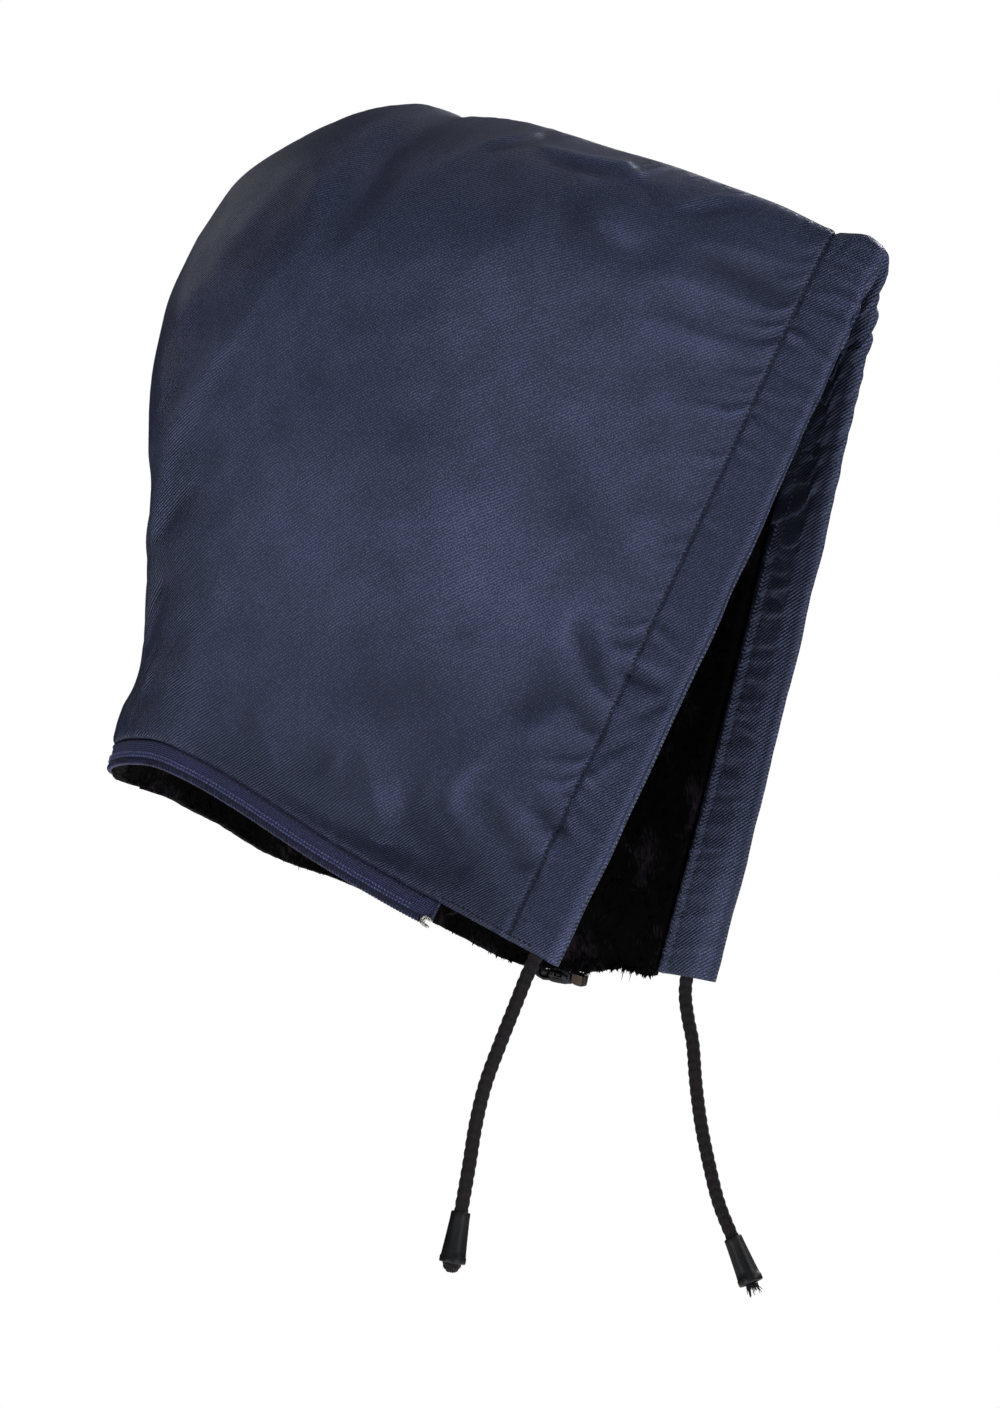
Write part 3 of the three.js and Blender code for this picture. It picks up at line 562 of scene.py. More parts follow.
def tube(path, radii, sides):
    """A round tube: path + radius * (cos a * normal + sin a * binormal), radii per ring or per point."""
    _, normals, binormals = frames_along(path)
    angle = np.linspace(0, 2 * np.pi, sides, endpoint=False)
    radii = np.broadcast_to(np.asarray(radii, float).reshape(len(path), -1), (len(path), sides))
    cosine, sine = np.cos(angle)[None, :, None], np.sin(angle)[None, :, None]
    around = cosine * normals[:, None] + sine * binormals[:, None]
    points = np.asarray(path)[:, None] + radii[..., None] * around
    last = (len(path) - 1) * sides
    faces = grid_faces(len(path), sides, closed_rows=True)
    faces += [list(range(sides))[::-1], [last + k for k in range(sides)]]
    return points, faces


def with_poles(rings, first, last):
    """Rings of points, closed at both ends by a pole."""
    count, sides = rings.shape[:2]
    points = np.vstack([rings.reshape(-1, 3), [first, last]])
    low, high, top = count * sides, count * sides + 1, (count - 1) * sides
    faces = grid_faces(count, sides, closed_rows=True)
    faces += [[low, (k + 1) % sides, k] for k in range(sides)]
    faces += [[high, top + k, top + (k + 1) % sides] for k in range(sides)]
    return points, faces


def revolve(profile, sides):
    """A profile of radius and height turned round the Z axis: (r cos a, r sin a, h), poles closed."""
    profile = np.asarray(profile, float)
    angle = np.linspace(0, 2 * np.pi, sides, endpoint=False)
    radius, height = profile[1:-1, :1], profile[1:-1, 1:]
    rings = np.stack([radius * np.cos(angle), radius * np.sin(angle), height + 0 * angle], axis=-1)
    return with_poles(rings, (0, 0, profile[0, 1]), (0, 0, profile[-1, 1]))


def many(shape_points, shape_faces, centres, axes):
    """Copies of one small shape: centre + x * first axis + y * second axis + z * third axis."""
    points = centres[:, None] + np.einsum("pk,nkc->npc", shape_points, axes)
    count = len(shape_points)
    faces = []
    for copy in range(len(centres)):
        faces += [[corner + copy * count for corner in face] for face in shape_faces]
    return points.reshape(-1, 3), faces


def bead(length, width, height, sides=6, rings=4):
    """A small ellipsoid, long along X: (l cos v, w sin v cos a, h sin v sin a)."""
    lift = np.linspace(0, np.pi, rings + 1)
    profile = np.stack([np.sin(lift), np.cos(lift)], axis=1)
    points, faces = revolve(profile, sides)
    return np.stack([points[:, 2] * length, points[:, 0] * width, points[:, 1] * height], axis=1), faces


def stitch_row(line, normals, pitch, length, width, height, sink=0.0):
    """Stitches along a line: one small bead every pitch, its long axis on the line, its top on the normal."""
    run = run_along(line)
    places = np.arange(pitch / 2, run[-1], pitch)
    outward = unit(read_at(places, run, normals))
    along = unit(read_at(places + STITCH_REACH, run, line) - read_at(places - STITCH_REACH, run, line))
    across = unit(np.cross(outward, along))
    shape, faces = bead(length / 2, width / 2, height / 2)
    centres = read_at(places, run, line) - outward * sink
    return many(shape, faces, centres, np.stack([along, across, outward], axis=1))


def joined(parts):
    """Several lots of points and faces as one."""
    points, faces, start = [], [], 0
    for part_points, part_faces in parts:
        part_points = np.asarray(part_points).reshape(-1, 3)
        points.append(part_points)
        faces += [[corner + start for corner in face] for face in part_faces]
        start += len(part_points)
    return np.vstack(points), faces


# Materials

def add_node(tree, kind, settings=None, inputs=None):
    """Adds a node, sets its settings, and gives each named input a value or a link."""
    node = tree.nodes.new(kind)
    for key, value in (settings or {}).items():
        setattr(node, key, value)
    for key, value in (inputs or {}).items():
        if isinstance(value, bpy.types.NodeSocket):
            tree.links.new(value, node.inputs[key])
        else:
            node.inputs[key].default_value = value
    return node


def new_material(name):
    """An empty node material with its output."""
    material = bpy.data.materials.new(name)
    material.use_nodes = True
    material.node_tree.nodes.clear()
    output = add_node(material.node_tree, "ShaderNodeOutputMaterial")
    return material, material.node_tree, output


def finish_material(tree, output, colour, rough, height, depth, **sockets):
    """A Principled shader with a colour, a roughness, a bump of a depth in metres and constant sockets."""
    lift = add_node(tree, "ShaderNodeBump", inputs={"Height": height, "Distance": depth, "Strength": 1.0})
    inputs = {"Base Color": colour, "Roughness": rough, "Normal": lift.outputs["Normal"]}
    inputs.update({key.replace("_", " "): value for key, value in sockets.items()})
    shader = add_node(tree, "ShaderNodeBsdfPrincipled", inputs=inputs)
    tree.links.new(shader.outputs["BSDF"], output.inputs["Surface"])


def colour_ramp(tree, value, stops):
    """Colours along a value: stops are (position, linear colour)."""
    ramp = add_node(tree, "ShaderNodeValToRGB", inputs={"Fac": value})
    elements = ramp.color_ramp.elements
    for index, (position, colour) in enumerate(stops):
        element = elements[index] if index < 2 else elements.new(position)
        element.position = position
        element.color = (*colour, 1)
    return ramp.outputs["Color"]


def maths(tree, operation, first, second):
    """One sum on two values."""
    node = add_node(tree, "ShaderNodeMath", {"operation": operation})
    for socket, value in zip(node.inputs, (first, second)):
        if isinstance(value, bpy.types.NodeSocket):
            tree.links.new(value, socket)
        else:
            socket.default_value = value
    return node.outputs["Value"]


def weighted(tree, terms, offset=0.0):
    """An offset and the sum of each value times its weight: terms are (value, weight)."""
    total = offset
    for value, weight in terms:
        total = maths(tree, "ADD", maths(tree, "MULTIPLY", value, weight), total)
    return total


def object_place(tree):
    """Object coordinates, in metres."""
    return add_node(tree, "ShaderNodeTexCoord").outputs["Object"]


def cloth_place(tree):
    """The piece's own UV map, in metres."""
    return add_node(tree, "ShaderNodeUVMap", {"uv_map": "UVMap"}).outputs["UV"]


def noise(tree, vector, scale, detail=3.0, rough=0.55):
    """Noise of a scale per metre."""
    settings = {"Scale": scale, "Detail": detail, "Roughness": rough, "Vector": vector}
    return add_node(tree, "ShaderNodeTexNoise", inputs=settings).outputs["Fac"]


def tint(code):
    """A constant colour for a socket, with its alpha."""
    return (*linear_colour(code), 1)


def ribs(tree, vector, spacing, angle, distortion=0.0):
    """Ribs of a spacing in metres, turned by an angle: the wave texture's period is pi / (10 * scale)."""
    turned = add_node(tree, "ShaderNodeMapping", inputs={"Vector": vector, "Rotation": (0, 0, angle)})
    settings = {"wave_type": "BANDS", "bands_direction": "X", "wave_profile": "SIN"}
    inputs = {
        "Vector": turned.outputs["Vector"], "Scale": math.pi / (10 * spacing),
        "Distortion": distortion, "Detail": 2.0, "Detail Scale": 1.2,
    }
    return add_node(tree, "ShaderNodeTexWave", settings, inputs).outputs["Fac"]


def twill_material(name, colours, spacing):
    """Polyester and cotton twill, dyed navy and calendered: fine slanting ribs, a soft cool lustre on
    what faces the light, and small specks where single threads are painted brighter, as painted glints, and
    also made shinier."""
    material, tree, output = new_material(name)
    cloth = cloth_place(tree)
    # The twill's lines lie 0.96 mm apart: drawn a third wider, or they would not show
    warp = ribs(tree, cloth, spacing, math.radians(63), 0.25)
    cross = ribs(tree, cloth, spacing * 1.05, math.radians(-38), 0.9)
    # Specks: painted glints, single threads lighter in colour, and also shinier through a lower roughness
    speck, slub = noise(tree, cloth, 1500.0, 1.0), noise(tree, cloth, 240.0)
    wide = noise(tree, cloth, 9.0, 2.0)
    # Painted light and shade from the cloth's attribute: lighter on the ridges of folds, darker in creases, a
    # painted highlight at the front edge and painted shade above the zip; the darker places are also made
    # rougher
    folds_and_painted_light = add_node(tree, "ShaderNodeAttribute", {"attribute_name": "folds_and_painted_light"}).outputs["Fac"]
    thread = weighted(tree, [(warp, 0.75), (cross, 0.2)])
    tone = weighted(tree, [(thread, 0.8), (speck, 2.4), (slub, 0.4), (wide, 0.2), (folds_and_painted_light, 0.24)], -1.36)
    stops = [(0.1, colours.cloth), (0.66, colours.cloth_light), (1.0, colours.cloth_painted_glints)]
    rough = weighted(tree, [(speck, -0.24), (folds_and_painted_light, -0.07)], 0.53)
    height = weighted(tree, [(thread, 1.0), (speck, 0.6)])
    finish_material(
        tree, output, colour_ramp(tree, tone, stops), rough, height, 0.00028, Specular_IOR_Level=0.9,
        Specular_Tint=tint("B6C2F6"), Sheen_Weight=0.03, Sheen_Roughness=0.4, Sheen_Tint=tint("8C97B4"))
    return material


def pile_material(name, colours):
    """Acrylic pile, dyed black and brushed: very dark, with faint purple-brown ends of the hairs."""
    material, tree, output = new_material(name)
    place = object_place(tree)
    stretched = add_node(tree, "ShaderNodeMapping", inputs={"Vector": place, "Scale": (1.0, 1.0, 0.25)})
    hair = noise(tree, stretched.outputs["Vector"], 900.0)
    clump = noise(tree, place, 42.0, 4.0)
    tone = weighted(tree, [(hair, 0.6), (clump, 1.3)], -0.53)
    colour = colour_ramp(tree, tone, [(0.5, colours.pile), (0.85, colours.pile_tips)])
    finish_material(tree, output, colour, 0.85, hair, 0.0005, Specular_IOR_Level=0.06)
    return material


def tape_material(name, colours):
    """Woven polyester zip tape: fine ribs along the tape, crossed by the weft, a little shinier than
    twill."""
    material, tree, output = new_material(name)
    cloth = cloth_place(tree)
    # The tape's ribs lie 0.6 mm apart: drawn at 0.9 mm, which shows
    warp = ribs(tree, cloth, 0.0009, math.radians(90), 0.3)
    weft = ribs(tree, cloth, 0.0011, math.radians(18), 0.6)
    speck = noise(tree, cloth, 1000.0, 2.0)
    height = weighted(tree, [(warp, 0.5), (weft, 0.5)])
    tone = weighted(tree, [(height, 0.6), (speck, 1.6)], -0.6)
    colour = colour_ramp(tree, tone, [(0.2, colours.tape), (0.85, colours.tape_light)])
    finish_material(
        tree, output, colour, 0.55, height, 0.0004, Specular_IOR_Level=0.4, Sheen_Weight=0.15,
        Sheen_Roughness=0.45, Sheen_Tint=tint("8088B0"))
    return material


def braid_material(name, colours):
    """Braided polyester cord, dyed black: each strand is a bundle of fine fibres along its own lay."""
    material, tree, output = new_material(name)
    wrap = cloth_place(tree)
    fibre = ribs(tree, wrap, 0.0007, math.radians(35), 2.0)
    speck = noise(tree, wrap, 700.0)
    tone = weighted(tree, [(fibre, 0.45), (speck, 0.5)])
    colour = colour_ramp(tree, tone, [(0.3, colours.cord), (0.8, colours.cord_light)])
    finish_material(
        tree, output, colour, 0.75, fibre, 0.0002, Specular_IOR_Level=0.2, Sheen_Weight=0.02,
        Sheen_Roughness=0.5, Sheen_Tint=tint("7C747A"))
    return material


def grained_material(name, grain, stops, rough, depth, scuff=None, **sockets):
    """A finish of one grain of noise, which lifts its surface by a depth, and of colours along its scuffs,
    which are the grain itself if none are given. Rough is a base and a swing with the scuffs."""
    material, tree, output = new_material(name)
    place = object_place(tree)
    height = noise(tree, place, *grain)
    tone = noise(tree, place, *scuff) if scuff else height
    base, swing = rough
    roughness = weighted(tree, [(tone, swing)], base) if swing else base
    finish_material(tree, output, colour_ramp(tree, tone, stops), roughness, height, depth, **sockets)
    return material


def sewing_thread(dark, light, rough):
    """Spun polyester sewing thread: a fine twist across each stitch."""
    return {"grain": (1800.0, 2.0), "stops": [(0.35, dark), (0.7, light)], "rough": (rough, 0.0),
            "depth": 0.0001, "Specular_IOR_Level": 0.45}


def moulded_plastic(dark, light, rough):
    """Injection moulded plastic: a faint fine texture from the mould and scuffs along it."""
    return {"grain": (1500.0, 2.0), "scuff": (160.0, 4.0, 0.7), "stops": [(0.4, dark), (0.75, light)],
            "rough": (rough, 0.18), "depth": 0.00004, "Specular_IOR_Level": 0.3}


def nylon_filament(dark, light):
    """Nylon monofilament, wound and heat set: smooth, with small highlights on every turn."""
    return {"grain": (500.0, 2.0), "stops": [(0.35, dark), (0.75, light)], "rough": (0.3, 0.2),
            "depth": 0.00005, "Specular_IOR_Level": 0.5}


def plated_metal(dark, light):
    """Nickel-plated brass, bent and tumbled: bright, with small dents and rub marks."""
    return {"grain": (700.0, 3.0), "stops": [(0.3, dark), (0.7, light)], "rough": (0.2, 0.16),
            "depth": 0.00004, "Metallic": 1.0}


def opal_board():
    """Opal board of the studio floor, lit from beneath: almost white, with a faint tooth."""
    stops = [(0.3, linear_colour("EDEDEC")), (0.7, linear_colour("F4F4F3"))]
    return {"grain": (60.0, 3.0), "stops": stops, "rough": (0.85, 0.0), "depth": 0.0003,
            "Emission_Color": (1, 1, 1, 1), "Emission_Strength": FLOOR_GLOW}


WOVEN = {
    "brushed_pile": pile_material,
    "woven_zip_tape": tape_material,
    "braided_cord": braid_material,
}


def material_for(name):
    """The material of a finish, made when it is first asked for."""
    if name in bpy.data.materials:
        return bpy.data.materials[name]
    colours = bpy.context.scene.hood_colours
    if name == "dyed_twill":
        return twill_material(name, colours, bpy.context.scene.hood_sizes.twill_spacing)
    if name in WOVEN:
        return WOVEN[name](name, colours)
    grained = {
        "nylon_coil": nylon_filament(colours.tape, colours.tape_light),
        "navy_thread": sewing_thread(colours.thread, colours.thread_light, 0.6),
        "coil_cord": sewing_thread(colours.tape, colours.thread_light, 0.7),
        "rib_thread": sewing_thread(colours.cloth, colours.rib, 0.5),
        "tape_thread": sewing_thread(colours.tape_light, colours.coil_thread, 0.5),
        "black_acetal": moulded_plastic(colours.plastic, colours.plastic_light, 0.34),
        "tinted_film": moulded_plastic(colours.film, colours.film_light, 0.4),
        "nickel_plated_brass": plated_metal(colours.metal_dark, colours.metal),
        "studio_floor": opal_board(),
    }
    return grained_material(name, **grained[name])


# Settings

def length_setting(name, description, default):
    """A length in metres."""
    return bpy.props.FloatProperty(
        name=name, description=description, default=default, unit="LENGTH", precision=5)


def colour_setting(name, description, code):
    """A colour given as an sRGB hex code."""
    return bpy.props.FloatVectorProperty(
        name=name, description=description, default=linear_colour(code), subtype="COLOR", min=0, max=1)


class HoodSizes(bpy.types.PropertyGroup):
    """Sizes of the hood's finer details."""
    twill_spacing: length_setting("Twill spacing", "Distance between the cloth's slanting lines", 0.00125)
    stitch_pitch: length_setting("Stitch pitch", "Distance from stitch to stitch in the hems", 0.0027)
    coil_pitch: length_setting("Coil pitch", "Distance from turn to turn of the zip coil", 0.0017)
    pile_length: length_setting("Pile length", "Length of the lining's hairs", 0.0085)
    braid_pitch: length_setting("Braid pitch", "Length of one lozenge of the cord's braid", 0.0042)
    pile_hairs: bpy.props.IntProperty(
        name="Pile locks", description="Locks of hair on each side of the lining", default=7500)


class HoodColours(bpy.types.PropertyGroup):
    """Colours of the hood."""
    cloth: colour_setting("Cloth", "Navy of the twill between its threads", "0E1017")
    cloth_light: colour_setting("Cloth threads", "Navy of the threads that catch the light", "22273A")
    # Colour of the painted glints on single threads
    cloth_painted_glints: colour_setting("Cloth specks", "Navy of the few brightest threads", "545C7C")
    pile: colour_setting("Pile", "Black of the lining", "010101")
    pile_tips: colour_setting("Pile ends", "Colour of the ends of the hairs", "2C2530")
    tape: colour_setting("Tape", "Navy of the zip tape", "14172D")
    tape_light: colour_setting("Tape threads", "Navy of the tape's threads", "373D6C")
    coil_thread: colour_setting("Coil thread", "Thread that holds the coil", "7C82B4")
    rib: colour_setting("Rib", "Navy of the facing's rib in the light", "434A6B")
    thread: colour_setting("Thread", "Sewing thread in shade", "12141F")
    thread_light: colour_setting("Thread light", "Sewing thread in the light", "262B42")
    cord: colour_setting("Cord", "Black of the drawcord", "0B090B")
    cord_light: colour_setting("Cord fibres", "Fibres of the drawcord", "352D33")
    plastic: colour_setting("Plastic", "Black of the cord ends and the slider", "0E0F12")
    plastic_light: colour_setting("Plastic scuffs", "Scuffed plastic", "191A1F")
    film: colour_setting("Film", "Brown film at the end of the zip", "3A2C24")
    film_light: colour_setting("Film light", "Brown film in the light", "5A473A")
    metal: colour_setting("Metal", "Bright metal of the stop", "D8D8D2")
    metal_dark: colour_setting("Metal dark", "Rubbed metal of the stop", "A9A9A2")


# Pieces

def shell_grid(side):
    """Shares of the outer grid, columns by rows, and the share that one millimetre takes in each row."""
    rows = row_shares(SHELL_ROWS)
    per_mm = share_per_mm(side, rows)
    even = np.linspace(0, 1, HEM_COLUMNS + 1)[:, None]
    hem = mix(CASING_EDGE / 2, CASING_WIDTH, mix(even, np.sin(even * np.pi / 2), 0.6)) * per_mm
    even = np.linspace(0, 1, BODY_COLUMNS + 1)[1:, None]
    turn = even - 0.08 * np.sin(2 * np.pi * even)
    s = np.vstack([hem, mix(hem[-1], 1, turn)])
    return s, np.broadcast_to(rows, s.shape), per_mm


def mottle(points, wavelength, seed):
    """Soft random field of height about 1: seven plane waves in seeded directions, near the wavelength."""
    random = np.random.default_rng(seed)
    total = np.zeros(points.shape[:-1])
    for turn in np.arange(7) * np.pi / 7:
        turn, stretch = turn + random.uniform(-0.2, 0.2), random.uniform(0.7, 1.4)
        across = points[..., 0] * math.cos(turn) + points[..., 1] * math.sin(turn)
        total += np.sin(2 * np.pi * across / (wavelength * stretch) + random.uniform(0, 2 * np.pi))
    return total / 2.6


def hem_gather(run, rise):
    """Gathers across the front hem: ripples along it, strong near the tip and faint below."""
    strength = mix(0.2, 1.0, smooth(0.5, 0.9, rise))
    return strength * (ripple(run, 15.0, 11) * 0.5 + ripple(run, 7.0, 12) * 0.15)


def edge_scallop(run, rise):
    """Scallops of the folded front edge, forward and back: short and deep near the tip, long and slight
    below."""
    return mix(0.35 * ripple(run, 60.0, 31), 1.5 * ripple(run, 15.0, 32), smooth(0.78, 0.95, rise))


def outer_relief(side, points, s, t, per_mm):
    """Height of the cloth over the plain panel, in millimetres: a full hem, a groove at its stitches,
    puckers on both sides of them, a rolled neck edge, a drawn-in centre seam, creases and soft waves.
    Also gives the folds and puckers, less a painted shade above the zip, as painted light and shade for the
    cloth's colour: lighter on ridges, darker in creases."""
    seed = {"right": 3, "left": 40}[side]
    behind = s / per_mm
    up = steps_of(points, 1)
    along = t * FRONT_LENGTH
    flat = points[..., [0, 2]]
    to_seam = np.minimum(np.abs(points[..., 1]), distance_to(flat, SEAM_LINE))
    from_stitch = behind - CASING_WIDTH
    in_hem, in_body = np.minimum(from_stitch, 0), np.maximum(from_stitch, 0)
    hem_form = HEM_FULL * np.sin(np.pi * np.clip(behind / CASING_WIDTH, 0, 1)) ** 0.7
    body_form = BODY_FULL * (1 - np.exp(-in_body / BODY_FULL_REACH)) * smooth(0, BODY_FULL_FROM_SEAM, to_seam)
    base = np.where(from_stitch <= 0, hem_form, body_form)
    base -= sum(depth * bump(from_stitch, reach) for depth, reach in STITCH_GROOVES)
    base -= NECK_PULL * bump(up, NECK_PULL_REACH) + SEAM_PULL * bump(to_seam, SEAM_PULL_REACH)
    base += NECK_ROLL * (1 - np.exp(-up / NECK_ROLL_START)) * np.exp(-up / NECK_ROLL_REACH)

    body_line = along + 0.5 * from_stitch + 1.6 * np.sin(from_stitch / 5)
    body_pucker = ripple(body_line, BODY_PUCKER_LENGTH, seed) * np.exp(-in_body / BODY_PUCKER_REACH)
    hem_line = along - 0.35 * from_stitch
    hem_pucker = ripple(hem_line, HEM_PUCKER_LENGTH, seed + 1) * np.exp(in_hem / HEM_PUCKER_REACH)
    pucker = np.where(from_stitch <= 0, hem_pucker, body_pucker) * (1 - bump(from_stitch, PUCKER_SLACK))
    folds_and_painted_light = PUCKER * pucker * (0.65 + 0.5 * ripple(along, 90.0, seed + 6))
    neck_pucker = ripple(s * NECK_LENGTH[side], NECK_PUCKER_LENGTH, seed + 2) * smooth(0, 2, up)
    folds_and_painted_light += NECK_PUCKER * neck_pucker * np.exp(-up / NECK_PUCKER_REACH)
    seam_pucker = ripple(flat[..., 0] - flat[..., 1], SEAM_PUCKER_LENGTH, seed + 5) * smooth(0, 2, to_seam)
    folds_and_painted_light += SEAM_PUCKER * seam_pucker * np.exp(-to_seam / SEAM_PUCKER_REACH)
    folds_and_painted_light += crease_height(flat, CREASES[side], CREASE_TAPER) * smooth(0, 3, to_seam)
    away = smooth(2, 22, from_stitch) * smooth(0, 20, up) * smooth(4, 40, to_seam)
    folds_and_painted_light += SMALL_DENTS * mottle(flat, SMALL_DENT_LENGTH, seed + 7) * away
    waves = WAVES * mottle(flat, WAVE_LENGTH, seed + 3) * away
    gathers = hem_gather(along, t) * smooth(CASING_WIDTH + 12, 6, behind)

    # Painted shade in a ragged band just above the zip, faded out at both ends
    reach = ZIP_SHADE_HEIGHT * (1 + 0.45 * ripple(flat[..., 0], 30.0, seed + 8))
    shade = ZIP_SHADE * bump(np.maximum(up, 0), reach)
    for start, full in ZIP_SHADE_ENDS:
        shade *= smooth(start, full, flat[..., 0])
    return base + folds_and_painted_light + waves + gathers, folds_and_painted_light - shade


def facing_columns(side, rows, per_mm):
    """The hem's inner face and its painted light and shade, in columns from its inner edge to the front: a
    rib and a groove, small pits below and deep puckers near the tip, wall + rib + limit * tanh(pucker /
    limit) deep."""
    run, upper = rows * FRONT_LENGTH, smooth(0.5, 0.82, rows)
    wall = mix(CASING_END_WALL, CASING_TOP_WALL, np.minimum(rows / CASING_FILL, 1))
    pits = np.clip(ripple(run, PIT_LENGTH, 76), 0, 1.2) ** 2
    columns, painted_light_and_shade = [], []
    for behind in FACING_BEHIND:
        rib = RIB_HEIGHT * bump(behind - RIB_BEHIND, RIB_REACH)
        rib = (rib - GROOVE_DEPTH * bump(behind - GROOVE_BEHIND, GROOVE_REACH)) * (1 - upper)
        deep = ripple(run + 0.9 * behind, 17.0, 78) + 0.5 * ripple(run - 0.7 * behind, 11.0, 79)
        deep = 1.5 * deep * smooth(1, 14, behind) - 0.4
        low = 0.45 * ripple(run + 0.3 * behind, 9.0, 77) * smooth(4, 18, behind)
        low = low - PIT_DEPTH * pits * bump(behind - PIT_BEHIND, PIT_REACH)
        pucker = FACING_PUCKER_LIMIT * np.tanh(mix(low, deep, upper) / FACING_PUCKER_LIMIT)
        depth = mix(CASING_EDGE, wall, smooth(0, 12, behind)) + rib + pucker
        share, part = behind * per_mm, (depth - CASING_EDGE) / (CASING_END_WALL - CASING_EDGE)
        thin = panel_points(side, share, rows, CASING_EDGE)
        thick = panel_points(side, share, rows, CASING_END_WALL)
        columns.append(mix(thin, thick, part[..., None]))
        # Painted light and shade: lighter on the puckers' ridges, darker in their hollows, with painted shade
        # over the face
        painted_light_and_shade.append(0.5 * pucker + FACING_PAINTED_SHADE * mix(smooth(6, 20, behind), 5 * smooth(1, 4, behind), upper))
    return np.array(columns), np.array(painted_light_and_shade)


def nose_columns(side, rows, per_mm):
    """The folded front edge, in columns from the inner to the outer face: radius * (1 - cos a) behind the
    edge and radius * (1 - sin a) deep."""
    columns = []
    for angle in np.radians(NOSE_ANGLES):
        share = CASING_EDGE / 2 * (1 - math.cos(angle)) * per_mm
        outside = panel_points(side, share, rows, 0.0)
        within = panel_points(side, share, rows, CASING_EDGE)
        columns.append(mix(outside, within, (1 - math.sin(angle)) / 2))
    return np.array(columns)


def cap_strips(fine, coarse):
    """Faces between a fine and a coarse edge that run the same way."""
    marks = np.round(np.linspace(0, len(fine) - 1, len(coarse))).astype(int)
    return [
        [*fine[marks[k]:marks[k + 1] + 1], coarse[k + 1], coarse[k]]
        for k in range(len(coarse) - 1)
    ]


def cloth_shell(side):
    """One padded side: the outer face with its relief, the inner face, the turned-in hem and its edge, as
    one closed loop of columns, with its faces, UV map and tone, and the parts that carry stitches."""
    s, t, per_mm = shell_grid(side)
    rows = t[0]
    outer = panel_points(side, s, t, 0.0)
    normals = grid_normals(outer, side)
    relief, folds_and_painted_light = outer_relief(side, outer, s, t, per_mm)
    uv = np.stack([outer[:1, :, 0] - steps_of(outer, 0), outer[:, :1, 2] + steps_of(outer, 1)], axis=-1)
    outer = outer + normals * relief[..., None]
    body_s = s[HEM_COLUMNS::INNER_STEP][1:][::-1]
    inner_body = panel_points(side, body_s, np.broadcast_to(rows, body_s.shape), CLOTH_WALL)
    step = panel_points(side, (CASING_WIDTH + FACING_STEP) * per_mm, rows, CLOTH_WALL)
    facing, facing_painted_light_and_shade = facing_columns(side, rows, per_mm)
    nose = nose_columns(side, rows, per_mm)

    hem_out = unit(normals[:HEM_COLUMNS].reshape(-1, 3).mean(axis=0))
    gathered = hem_out * hem_gather(rows * FRONT_LENGTH, rows)[None, :, None]
    facing, nose = facing + gathered, nose + gathered
    scallop = edge_scallop(rows * FRONT_LENGTH, rows)
    outer[..., 0] += scallop * smooth(14, 2, s / per_mm)
    facing[..., 0] += scallop * smooth(14, 2, np.array(FACING_BEHIND))[:, None]
    nose[..., 0] += scallop
    loop = np.concatenate([outer, inner_body, step[None], facing, nose])

    columns, count = loop.shape[:2]
    body_start = len(outer)
    step_column = body_start + len(inner_body)
    facing_start, nose_start = step_column + 1, columns - len(nose)
    caps = cap_strips(range(HEM_COLUMNS, body_start), range(step_column, body_start - 1, -1))
    caps += cap_strips(range(HEM_COLUMNS + 1), range(nose_start - 1, step_column, -1))
    caps.append([HEM_COLUMNS, step_column, facing_start])
    caps.append([0, *range(nose_start - 1, columns)])
    faces = grid_faces(columns, count, closed_columns=True)
    for cap in caps:
        faces.append([column * count for column in cap][::-1])
        faces.append([column * count + count - 1 for column in cap])

    uv = np.concatenate([uv, loop[body_start:, :, [0, 2]]]) / 1000
    # Painted light and shade for the cloth's colour: from the folds on the outer face, a painted highlight on
    # the front edge, and painted light and shade on the hem's inner face
    tone = np.zeros(loop.shape[:2])
    tone[:body_start] = np.clip(folds_and_painted_light / FULL_PAINTED_LIGHT_HEIGHT, -1, 1)
    # Painted highlight on the outer face's first two columns at the front edge, and painted shade and
    # highlight across the nose
    tone[:2] = EDGE_PAINTED_LIGHT
    # Painted light and shade of the hem's inner face
    tone[facing_start:nose_start] = facing_painted_light_and_shade
    tone[nose_start:] = EDGE_PAINTED_LIGHT * np.array(NOSE_PAINTED_LIGHT)[:, None]
    return loop, facing_out(loop, faces), uv, tone, (outer, normals, facing, hem_out)


def centre_seam():
    """The seam allowances inside the centre seam: a round strip along the seam that closes it."""
    line = layer_line(SEAM_DEPTH)
    line = on_curve(line[::4], np.linspace(0.004, 0.996, 360))
    path = np.stack([line[:, 0], np.zeros(len(line)), line[:, 1]], axis=1)
    return tube(path, np.full(len(path), SEAM_RADIUS), 10)


